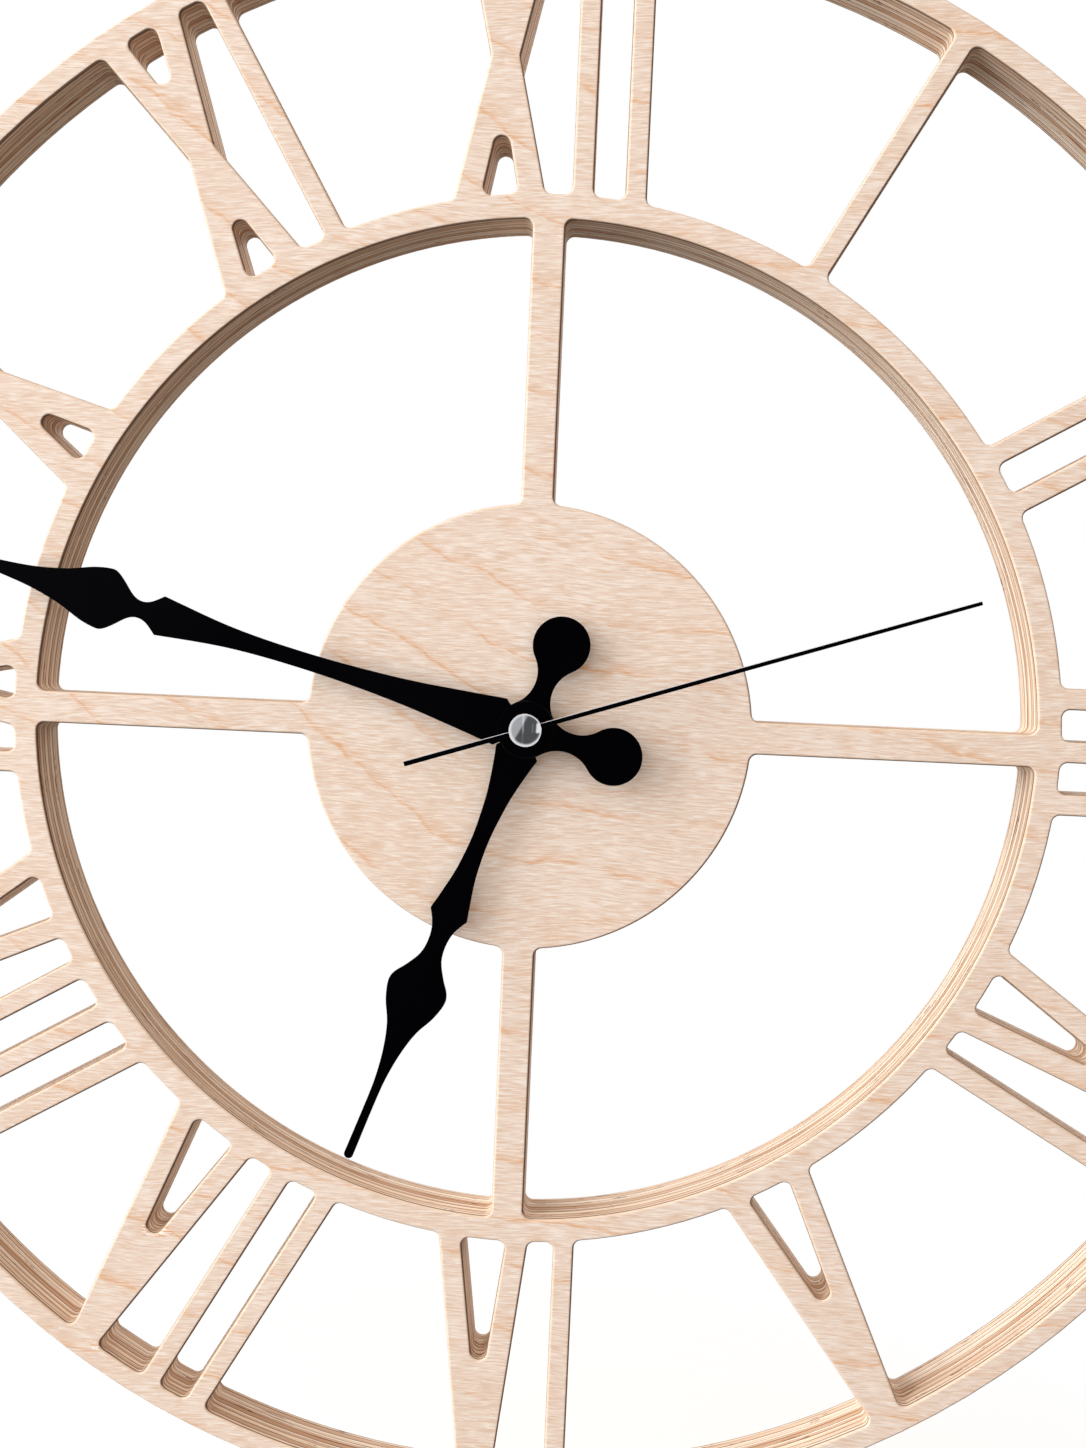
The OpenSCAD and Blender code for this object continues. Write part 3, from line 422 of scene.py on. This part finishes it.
def birch_plywood(name):
    """Veneer on the faces, plies on the cut edge, a pale and a dark line where they meet, and painted shade
    on edges that face down to the right and on the back ply.
    """
    wood = bpy.context.scene.clock_wood
    f = Finish(name, specular_ior_level=WOOD_GLOSS)
    face_x, face_y, face_z = f.facing()
    grain, fibres, threads = veneer_grain(f, wood)
    cut, carved = cut_plies(f, wood, face_x, face_z)
    on_face = f.spread(face_y, 0.35, 0.8)
    colour = f.blend(on_face, cut, grain)
    eased = f.times(f.spread(face_y, 0.3, 0.5), f.spread(face_y, 0.99, 0.9))
    # The dark line where the sanded edge meets the cut, widened by painted shade on edges that face down to
    # the right, away from the lamps
    dark_line_and_shade = f.calc("MAXIMUM", f.spread(face_y, 0.55, 0.35), f.spread(f.shaded_side(), 0.25, 0.5))
    corner = f.times(f.spread(face_y, 0.02, 0.1), dark_line_and_shade)
    colour = f.blend(f.times(eased, 0.5), colour, wood.eased)
    f.tint(f.times(corner, 0.85), colour, wood.corner)
    f.set("Roughness", f.spread(fibres, 0.35, 0.65, 0.62, 0.5))
    relief = f.times(f.calc("MULTIPLY_ADD", threads, 0.6, fibres), on_face)
    carved = f.times(carved, f.calc("SUBTRACT", 1, on_face))
    f.emboss(f.plus(relief, carved), WOOD_RELIEF, 0.8)
    return f.material


# Paint, metal, plastic and the rest

PAINT_GLOSS = 0.06
DUST = linear(150, 150, 158)
CHROME = linear(222, 224, 228)
WIRE_GAP, WIRE_CROWN = linear(84, 36, 16), linear(196, 106, 58)
MASK_GREEN, TRACK_GREEN = linear(22, 70, 40), linear(44, 112, 62)
IRON_DARK, IRON_PALE = linear(92, 92, 96), linear(140, 140, 144)
RUBBER_DARK, RUBBER_PALE = linear(24, 24, 25), linear(46, 46, 47)
RESIN_DARK, RESIN_PALE = linear(12, 12, 13), linear(34, 33, 36)
JACKET_PALE, JACKET_BAND = linear(96, 104, 116), linear(196, 200, 205)

# Turns of wire to the millimetre
WIRE_TURNS = 6

# Where the battery's pale band starts and ends, in millimetres from its plus end, and how soft its rims are
BAND_START, BAND_END, BAND_SOFT = 13, 2, 0.1


def black_paint(name):
    """Black paint with specks of dust, and a painted highlight along the upper edge of the second hand."""
    hands = bpy.context.scene.clock_hands
    f = Finish(name, specular_ior_level=PAINT_GLOSS)
    f.rough(f.mottle(0.12, 3), 0.14, 0.24)
    dust = f.cells(0.8)
    crowd = f.spread(f.mottle(0.06, 1), 0.45, 0.65)
    chosen = f.times(f.spread(dust["Color"], 0.6, 0.9), crowd)
    speck = f.times(f.spread(dust["Distance"], 0.11, 0.04), chosen)
    dusty = f.blend(f.times(speck, 0.25), hands.paint, DUST)
    second_back = -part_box("second_hand")[1].y / MM
    on_second = f.spread(f.times(f.y, -1), second_back - 0.5, second_back - 0.2)
    # Painted highlight on the upward-facing edge of the second hand, standing in for reflected light
    edge_highlight_mask = f.times(f.spread(f.normal()[2], 0.2, 0.5), on_second)
    f.tint(edge_highlight_mask, dusty, hands.edge_highlight_colour)
    f.emboss(f.mottle(3), 0.01, 0.25)
    return f.material


def bright_metal(name):
    """Polished cap with the faintest turning rings."""
    f = Finish(name, metallic=1.0, base_color=CHROME)
    f.rough(f.noise(f.point(f.times(f.radius(), 9), 0, 0)), 0.05, 0.12)
    f.emboss(f.mottle(0.5, 1), 0.03, 0.4)
    return f.material


def turned_metal(colour, low=0.22, high=0.4):
    """Rings left by a lathe about the hands' axis."""
    def make(name):
        f = Finish(name, metallic=1.0)
        rings = f.noise(f.point(f.times(f.radius(), 14), f.times(f.y, 9), 0))
        dull = tuple(c * 0.72 for c in colour)
        f.tint(f.spread(f.mottle(0.3, 3), 0.4, 0.7, 0.0, 0.7), colour, dull)
        f.rough(rings, low, high)
        f.emboss(rings, 0.02, 0.6)
        return f.material
    return make


def rolled_metal(colour, along, low=0.25, high=0.45):
    """Strip with rolling lines along x or z, faintly mottled by its plating."""
    def make(name):
        f = Finish(name, metallic=1.0)
        lines = f.streaks(*((0.15, 2, 7) if along == "x" else (7, 2, 0.15)), 3)
        pale = tuple(min(1.0, c * 1.18) for c in colour)
        f.tint(f.spread(f.cells(0.35)["Color"], 0.2, 0.8, 0.0, 0.6), colour, pale)
        f.rough(lines, low, high)
        f.emboss(lines, 0.02, 0.5)
        return f.material
    return make


def moulded_plastic(colour, roughness=0.5, grain=1.0, texture=0.03):
    """Spark-eroded mould texture with a little shade variation."""
    def make(name):
        f = Finish(name, specular_ior_level=0.4)
        spark = f.mottle(4 * grain, 3, 0.6)
        lighter = tuple(c * 1.3 + 0.004 for c in colour)
        f.tint(f.spread(f.mottle(0.06), NOISE_LOW, NOISE_HIGH, 0.0, 0.5), colour, lighter)
        f.rough(spark, roughness - 0.08, roughness + 0.12)
        f.emboss(spark, texture, 0.7)
        return f.material
    return make


def case_plastic(name):
    """The case's colour is a setting, so it is read only when the material is made."""
    return moulded_plastic(bpy.context.scene.clock_movement.plastic, 0.52)(name)


def wound_wire(name):
    """Turns of fine enamelled wire round the coil, which lies along x."""
    f = Finish(name, metallic=0.85, roughness=0.32)
    turn = f.calc("FRACT", f.calc("MULTIPLY_ADD", f.x, WIRE_TURNS, f.times(f.noise(f.spot, 1), 0.3)))
    crown = f.calc("SINE", f.times(turn, math.pi))
    f.tint(f.spread(crown, 0.2, 0.8), WIRE_GAP, WIRE_CROWN)
    f.emboss(crown, 0.08, 0.9)
    return f.material


def solder_mask(name):
    """Circuit board with copper tracks under green mask."""
    f = Finish(name, specular_ior_level=0.5, roughness=0.35)
    lane = f.calc("FRACT", f.times(f.x, 0.45))
    row = f.calc("FRACT", f.times(f.z, 0.5))
    pick = f.spread(f.streaks(0.2, 0, 0.2, 0), 0.48, 0.5)
    track = f.plus(f.times(f.spread(lane, 0.3, 0.34), pick),
                   f.times(f.spread(row, 0.3, 0.34), f.calc("SUBTRACT", 1, pick)))
    f.tint(f.calc("MINIMUM", track, 1), MASK_GREEN, TRACK_GREEN)
    f.emboss(track, 0.03, 0.6)
    return f.material


def laminated_iron(name):
    """Stamped soft iron with faint bands of its laminations."""
    f = Finish(name, metallic=1.0)
    bands = f.streaks(0.3, 12, 0.3)
    f.tint(f.spread(bands, 0.35, 0.65), IRON_DARK, IRON_PALE)
    f.rough(bands, 0.35, 0.55)
    f.emboss(bands, 0.02, 0.6)
    return f.material


def soft_rubber(name):
    f = Finish(name, specular_ior_level=0.25)
    matt = f.mottle(2.5, 4, 0.65)
    f.tint(f.spread(matt, 0.35, 0.7), RUBBER_DARK, RUBBER_PALE)
    f.rough(matt, 0.7, 0.9)
    f.emboss(matt, 0.05, 0.6)
    return f.material


def resin_drop(name):
    f = Finish(name, specular_ior_level=0.6, coat_weight=0.4)
    flow = f.mottle(0.8)
    f.tint(flow, RESIN_DARK, RESIN_PALE)
    f.rough(flow, 0.18, 0.3)
    f.emboss(flow, 0.15, 0.5)
    return f.material


def printed_jacket(name):
    """Plain battery sleeve: a dark body with one pale band by the plus end."""
    f = Finish(name, metallic=0.55, coat_weight=0.5)
    start, end = (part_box("battery")[1].x / MM - from_plus for from_plus in (BAND_START, BAND_END))
    band = f.times(f.spread(f.x, start - BAND_SOFT, start + BAND_SOFT),
                   f.spread(f.x, end + BAND_SOFT, end - BAND_SOFT))
    film = f.streaks(0.3, 1.5, 1.5, 3)
    shade = f.spread(film, NOISE_LOW, NOISE_HIGH, 0.0, 0.35)
    f.tint(band, f.blend(shade, bpy.context.scene.clock_movement.jacket, JACKET_PALE), JACKET_BAND)
    f.rough(film, 0.28, 0.4)
    f.emboss(film, 0.02, 0.4)
    return f.material


MAKERS = {
    "birch_plywood": birch_plywood,
    "black_metal": black_paint,
    "bright_cap": bright_metal,
    "brass": turned_metal(linear(214, 176, 98)),
    "case_plastic": case_plastic,
    "white_nylon": moulded_plastic(linear(228, 226, 216), 0.42, 1.5, 0.015),
    "knob_plastic": moulded_plastic(linear(206, 206, 200), 0.45, 1.3, 0.02),
    "rubber": soft_rubber,
    "sheet_steel": rolled_metal(linear(176, 180, 186), "z"),
    "contact_steel": rolled_metal(linear(196, 196, 192), "x", 0.18, 0.32),
    "core_steel": laminated_iron,
    "magnet": laminated_iron,
    "copper_wire": wound_wire,
    "circuit_green": solder_mask,
    "chip_resin": resin_drop,
    "crystal_can": rolled_metal(linear(206, 208, 210), "x", 0.15, 0.3),
    "battery_jacket": printed_jacket,
}
FINISHES = {}


def finish_of(slot):
    """The material of that record slot, made on first use."""
    if slot not in FINISHES:
        FINISHES[slot] = MAKERS[slot](slot)
    return FINISHES[slot]


# Mesh tools

# Loose triangles of a CAD node are joined at this distance, and faces flatter than this made whole
WELD = 0.002 * MM
FLAT = math.radians(0.4)

# Sides of a turned body
TURNED_SIDES = 72


def wear(obj, material):
    obj.data.materials.clear()
    obj.data.materials.append(material)


def paint_nodes(*nodes):
    """Gives the finish of their record slot to CAD nodes that stay as they are."""
    for node in nodes:
        material = finish_of(SLOT_OF[node])
        for slot in NODES[node].material_slots:
            slot.material = material


def add_piece(name, shape, node, replaces=True, slot=None, sharp=40):
    """Turns a bmesh into a smooth piece that rides on the node's body."""
    mesh = bpy.data.meshes.new(name)
    for face in shape.faces:
        face.smooth = True
    shape.to_mesh(mesh)
    shape.free()
    mesh.set_sharp_from_angle(angle=math.radians(sharp))
    piece = bpy.data.objects.new(name, mesh)
    bpy.context.scene.collection.objects.link(piece)
    weighted = piece.modifiers.new("weighted_normals", "WEIGHTED_NORMAL")
    weighted.keep_sharp = True
    weighted.weight = 100
    slot = slot or SLOT_OF[node]
    wear(piece, finish_of(slot))
    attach(piece, BODY_OF[node])
    if replaces:
        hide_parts(node)


def merged_copy(node, weld=WELD):
    """The node's mesh with its loose triangles joined and its flat faces whole again."""
    shape = bmesh.new()
    shape.from_mesh(NODES[node].data)
    bmesh.ops.remove_doubles(shape, verts=shape.verts, dist=weld)
    bmesh.ops.recalc_face_normals(shape, faces=shape.faces)
    bmesh.ops.dissolve_limit(
        shape, angle_limit=FLAT, use_dissolve_boundaries=False,
        verts=shape.verts, edges=shape.edges, delimit=set())
    return shape


def round_edges(shape, radius, segments=2, angle=30, chosen=None):
    """Rounds every edge sharper than angle, or those of them that chosen picks."""
    edges = [
        e for e in shape.edges
        if e.is_manifold and e.calc_face_angle(0) > math.radians(angle) and (chosen is None or chosen(e))
    ]
    bmesh.ops.bevel(
        shape, geom=edges, offset=radius, offset_type="OFFSET", segments=segments, profile=0.5,
        affect="EDGES", clamp_overlap=False, material=-1, miter_outer="SHARP", miter_inner="SHARP")
    return shape


def softened(name, node, radius):
    """Replaces the node by a copy with rounded edges."""
    add_piece(name, round_edges(merged_copy(node), radius), node)


def spun(profile, axis_point, axis):
    """A closed body of revolution from (radius, distance along the axis) points."""
    shape = bmesh.new()
    axis = Vector(axis)
    side = axis.orthogonal().normalized()
    verts = [shape.verts.new(Vector(axis_point) + side * r + axis * along) for r, along in profile]
    edges = [shape.edges.new(pair) for pair in zip(verts, verts[1:])]
    bmesh.ops.spin(
        shape, geom=verts + edges, cent=axis_point, axis=axis, angle=math.tau, steps=TURNED_SIDES,
        use_merge=True, dvec=(0, 0, 0))
    bmesh.ops.remove_doubles(shape, verts=shape.verts, dist=MM / 1000)
    bmesh.ops.recalc_face_normals(shape, faces=shape.faces)
    return shape


# Operators, one for each piece or group of like pieces


class CLOCK_OT_dial(bpy.types.Operator):
    """Plywood dial with sanded edges"""
    bl_idname = "clock.dial"
    bl_label = "Dial"

    def execute(self, context):
        # Points closer than this are joined, and an edge that stays within it in depth rims a face
        weld = 0.1 * MM

        def rims_a_face(edge):
            return abs(edge.verts[0].co.y - edge.verts[1].co.y) < weld

        board = merged_copy("dial", weld)
        round_edges(board, context.scene.clock_wood.edge, segments=3, angle=40, chosen=rims_a_face)
        add_piece("dial_board", board, "dial")
        return {"FINISHED"}


class CLOCK_OT_hands(bpy.types.Operator):
    """Hour, minute and second hands with their collets"""
    bl_idname = "clock.hands"
    bl_label = "Hands"

    def execute(self, context):
        edge = context.scene.clock_hands.edge
        rounder = edge * 1.8
        softened("hour_hand_blade", "hour_hand", edge)
        softened("minute_hand_blade", "minute_hand", edge)
        softened("second_hand_blade", "second_hand", rounder)
        paint_nodes("hour_collet", "minute_collet", "second_tube")
        return {"FINISHED"}


class CLOCK_OT_cap(bpy.types.Operator):
    """Bright cap: a low dome inside a round bead"""
    bl_idname = "clock.cap"
    bl_label = "Cap"

    def execute(self, context):
        low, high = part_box("cap")
        outer, tall = high.x, high.y - low.y
        bead = context.scene.clock_hands.bead

        # Dome and bead meet at this slope, where both have the same tangent
        slope = math.radians(29)
        dome_r = (outer - bead + bead * math.sin(slope)) / math.sin(slope)
        wall = tall - dome_r * (1 - math.cos(slope)) - bead * math.cos(slope)
        foot = 0.4 * bead
        profile = [(0, 0), (outer - foot, 0), (outer, foot), (outer, wall / 2)]
        bead_steps, dome_steps = 8, 16
        for k in range(bead_steps):
            a = math.tau / 4 - (math.tau / 4 - slope) * k / bead_steps
            profile.append((outer - bead + bead * math.sin(a), wall + bead * math.cos(a)))
        for k in range(dome_steps + 1):
            a = slope * (1 - k / dome_steps)
            profile.append((dome_r * math.sin(a), tall - dome_r * (1 - math.cos(a))))
        add_piece("cap_dome", spun(profile, (0, high.y, 0), (0, -1, 0)), "cap", sharp=35)
        return {"FINISHED"}


class CLOCK_OT_fixing(bpy.types.Operator):
    """Bush, nut, washer, gasket and hanger that clamp the movement to the dial"""
    bl_idname = "clock.fixing"
    bl_label = "Fixing"

    def execute(self, context):
        edge = context.scene.clock_movement.metal_edge
        for name, node in (("nut", "fixing_nut"), ("washer", "dial_washer"), ("bush", "threaded_bush"),
                           ("hanger_plate", "hanger"), ("rubber_ring", "gasket")):
            softened(name, node, edge)
        return {"FINISHED"}


class CLOCK_OT_case(bpy.types.Operator):
    """Both halves of the movement case and the setting knob"""
    bl_idname = "clock.case"
    bl_label = "Movement case"

    def execute(self, context):
        edge = context.scene.clock_movement.case_edge
        shell_edge, tooth_edge = edge * 0.6, edge * 0.3
        softened("case_front_shell", "case_front", shell_edge)
        softened("case_rear_cover", "case_rear", shell_edge)
        softened("setting_knob_wheel", "setting_knob", tooth_edge)
        return {"FINISHED"}


class CLOCK_OT_battery(bpy.types.Operator):
    """Battery with crimped ends, and its contacts"""
    bl_idname = "clock.battery"
    bl_label = "Battery"

    def execute(self, context):
        low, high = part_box("battery")
        r = (high.z - low.z) / 2
        axis_point = (low.x, (low.y + high.y) / 2, (low.z + high.z) / 2)
        along_x = (1, 0, 0)
        length = high.x - low.x
        button = 2.75 * MM
        button_h = 1.3 * MM
        shoulder = length - button_h
        lip = 0.35 * MM

        # Both profiles are (radius, distance from the minus end) points, and the sleeve's is closed
        sleeve = [(r - 3 * lip, lip), (r - 2 * lip, lip * 0.4), (r - lip, 0), (r - 0.3 * lip, lip * 0.3),
                  (r, lip), (r, shoulder - lip), (r - 0.3 * lip, shoulder - 0.3 * lip), (r - lip, shoulder),
                  (r - 2 * lip, shoulder - 0.4 * lip), (r - 3 * lip, shoulder - lip)]
        sleeve.append(sleeve[0])
        can = [(0, 0.6 * lip), (r - 5 * lip, 0.6 * lip), (r - 4 * lip, 1.6 * lip), (r - 1.2 * lip, 1.6 * lip),
               (r - 1.2 * lip, shoulder - 1.6 * lip), (r - 4 * lip, shoulder - 1.6 * lip),
               (r - 5 * lip, shoulder - 0.9 * lip), (button + lip, shoulder - 0.7 * lip), (button, shoulder),
               (button, length - lip), (button - lip, length), (0, length)]
        add_piece("battery_sleeve", spun(sleeve, axis_point, along_x), "battery", sharp=50)
        add_piece("battery_can", spun(can, axis_point, along_x), "battery", replaces=False,
                  slot="contact_steel", sharp=50)
        edge = context.scene.clock_movement.metal_edge
        softened("positive_strip", "positive_contact", edge)
        softened("negative_strip", "negative_contact", edge)
        return {"FINISHED"}


class CLOCK_OT_motor(bpy.types.Operator):
    """Circuit board, coil, stator and rotor"""
    bl_idname = "clock.motor"
    bl_label = "Motor"

    def execute(self, context):
        paint_nodes("circuit_board", "chip", "crystal", "coil_bobbin", "coil_winding", "coil_core", "stator",
                    "rotor_magnet", "rotor_pinion")
        return {"FINISHED"}


class CLOCK_OT_train(bpy.types.Operator):
    """Wheels, pinions and the plate that carries them"""
    bl_idname = "clock.train"
    bl_label = "Train"

    def execute(self, context):
        paint_nodes("train_plate", "intermediate_wheel", "second_wheel", "third_wheel", "centre_wheel",
                    "clutch_spring", "cannon_pinion", "minute_works_wheel", "hour_wheel")
        return {"FINISHED"}


# Stage

# Each lamp with its diameter, its direction from the hub and its distance, in metres
LAMPS = (
    ("key", 2.6, (-0.56, -0.8, 0.22), 2.2),
    ("side", 3.6, (-0.87, -0.13, 0.3), 2.2),
    ("back", 2.2, (0.3, 1, 0.6), 2.2),
    ("front", 2.4, (0.1, -1, 0), 1.8),
)

# The camera's lens and sensor in millimetres, its place in metres, and its turn away from straight ahead as
# a vector whose length is the angle
LENS, SENSOR = 28.62, 36
CAMERA_AT = (0.01549, -0.31458, 0.01402)
CAMERA_TURN = (-0.04413, -0.04406, 0.04232)
NEAREST, FARTHEST = 0.01, 50

WARM, WHITE = (1.0, 0.62, 0.37), (1, 1, 1)

# Half width of the floor in metres, and where it starts to fade and is gone, in millimetres from the axis
FLOOR_HALF = 1.3
FADE_START, FADE_END = 500, 1200

# The floor as the camera sees it, clean and in its grain, and as other light does
PAPER, PAPER_GRAIN, PAPER_DIM = (0.93, 0.93, 0.93), (0.8, 0.8, 0.8), (0.12, 0.11, 0.1)


def add_lamp(name, power, size, direction, distance):
    """An area lamp that looks at the hub from that direction."""
    light = bpy.data.lights.new(name, "AREA")
    light.energy = power
    light.shape = "DISK"
    light.size = size
    made = bpy.data.objects.new(name, light)
    away = Vector(direction).normalized()
    made.location = away * distance
    made.rotation_mode = "QUATERNION"
    made.rotation_quaternion = away.to_track_quat("Z", "Y")
    made.visible_glossy = False
    bpy.context.scene.collection.objects.link(made)


def cap_reflections(w, x, y, z):
    """What gloss sees: white behind the clock, and in front a dim room with three pale shapes."""
    up_left = w.calc("SUBTRACT", w.times(z, 0.5), x)
    room = w.spread(up_left, 0.26, 0.42, 0.1, 0.5)
    strip = w.times(w.spread(x, -0.1, -0.14), w.spread(x, -0.24, -0.2, 0.0, 0.3))
    strip = w.times(strip, w.spread(z, -0.3, 0.0, 0.2, 1.0))
    high = w.times(w.spread(z, -0.2, -0.12), w.spread(z, 0.45, 0.35))
    pane = w.times(w.spread(x, 0.58, 0.66, 0.0, 0.9), high)
    gleam = w.times(w.times(w.spread(x, 0.36, 0.4), w.spread(x, 0.48, 0.44, 0.0, 0.1)), high)
    in_front = w.plus(w.plus(room, strip), w.plus(pane, gleam))
    return w.mix(w.spread(y, -0.66, -0.5), in_front, 1.0)


class CLOCK_OT_studio(bpy.types.Operator):
    """Camera of the photograph, lamps, white surroundings and a pale floor"""
    bl_idname = "clock.studio"
    bl_label = "Studio"

    def execute(self, context):
        scene = context.scene
        studio = scene.clock_studio
        scene.view_settings.view_transform = "Standard"
        self.camera(scene)
        for name, size, direction, distance in LAMPS:
            add_lamp(f"{name}_lamp", getattr(studio, name), size, direction, distance)
        self.surroundings(scene, studio)
        self.floor(studio)
        return {"FINISHED"}

    def camera(self, scene):
        data = bpy.data.cameras.new("camera")
        data.sensor_fit = "AUTO"
        data.sensor_width = SENSOR
        data.lens = LENS
        data.clip_start = NEAREST
        data.clip_end = FARTHEST
        turn = Vector(CAMERA_TURN)
        straight_ahead = Matrix(((1, 0, 0), (0, 0, -1), (0, 1, 0)))
        placed = (Matrix.Rotation(turn.length, 3, turn.normalized()) @ straight_ahead).to_4x4()
        placed.translation = CAMERA_AT
        camera = bpy.data.objects.new("camera", data)
        camera.matrix_world = placed
        scene.collection.objects.link(camera)
        scene.camera = camera

    def surroundings(self, scene, studio):
        """White to the camera, the room to gloss, and soft warm light from above for the rest."""
        world = bpy.data.worlds.new("surroundings")
        scene.world = world
        world.use_nodes = True
        w = Wiring(world.node_tree)
        ray = w.add("ShaderNodeLightPath").outputs
        x, y, z = w.apart(w.add("ShaderNodeTexCoord").outputs["Generated"])
        from_above = w.spread(z, -0.7, 0.7, 0.2, 1.0)
        from_right = w.spread(x, 0.8, -0.8, 1.2, 0.8)
        soft = w.times(w.times(from_above, from_right), studio.ambient)
        room = w.mix(ray["Is Glossy Ray"], soft, cap_reflections(w, x, y, z))
        clear = w.calc("MAXIMUM", ray["Is Camera Ray"], ray["Is Transmission Ray"])
        plain = w.calc("MAXIMUM", clear, ray["Is Glossy Ray"])
        background = w.add("ShaderNodeBackground", {
            "Color": w.blend(plain, WARM, WHITE), "Strength": w.mix(clear, room, 1.0)})
        w.add("ShaderNodeOutputWorld", {"Surface": background.outputs[0]})

    def floor(self, studio):
        shape = bmesh.new()
        bmesh.ops.create_grid(shape, x_segments=1, y_segments=1, size=FLOOR_HALF)
        bmesh.ops.translate(shape, vec=(0, 0, studio.floor_z), verts=shape.verts)
        mesh = bpy.data.meshes.new("floor")
        shape.to_mesh(mesh)
        shape.free()
        floor = bpy.data.objects.new("floor", mesh)
        bpy.context.scene.collection.objects.link(floor)
        wear(floor, floor_paper("floor_paper"))
        floor.visible_glossy = False


def floor_paper(name):
    """White to the camera with the shadow on it, dimmer to other light, and faded at its rim."""
    f = Finish(name, roughness=0.8, specular_ior_level=0.1)
    from_camera = f.add("ShaderNodeLightPath").outputs["Is Camera Ray"]
    seen = f.blend(f.times(f.mottle(0.05), 0.04), PAPER, PAPER_GRAIN)
    f.tint(from_camera, PAPER_DIM, seen)
    away = f.calc("SQRT", f.plus(f.times(f.x, f.x), f.times(f.y, f.y)))
    f.set("Alpha", f.spread(away, FADE_END, FADE_START))
    return f.material


STEPS = (CLOCK_OT_dial, CLOCK_OT_hands, CLOCK_OT_cap, CLOCK_OT_fixing, CLOCK_OT_case, CLOCK_OT_battery,
         CLOCK_OT_motor, CLOCK_OT_train, CLOCK_OT_studio)


class CLOCK_PT_panel(bpy.types.Panel):
    """Lists the pieces and their sizes"""
    bl_idname = "CLOCK_PT_panel"
    bl_label = "Wall clock"
    bl_space_type = "VIEW_3D"
    bl_region_type = "UI"
    bl_category = "Wall clock"

    def draw(self, context):
        for step in STEPS:
            self.layout.operator(step.bl_idname)
        for group, kind in GROUPS.items():
            box = self.layout.box()
            for name in kind.__annotations__:
                box.prop(getattr(context.scene, group), name)


CLASSES = (*GROUPS.values(), *STEPS, CLOCK_PT_panel)


def register():
    for kind in CLASSES:
        bpy.utils.register_class(kind)
    for group, kind in GROUPS.items():
        setattr(bpy.types.Scene, group, PointerProperty(type=kind))


def unregister():
    for group in GROUPS:
        delattr(bpy.types.Scene, group)
    for kind in reversed(CLASSES):
        bpy.utils.unregister_class(kind)


def main():
    register()
    for step in STEPS:
        group, name = step.bl_idname.split(".")
        getattr(getattr(bpy.ops, group), name)()


if __name__ == "__main__":
    main()
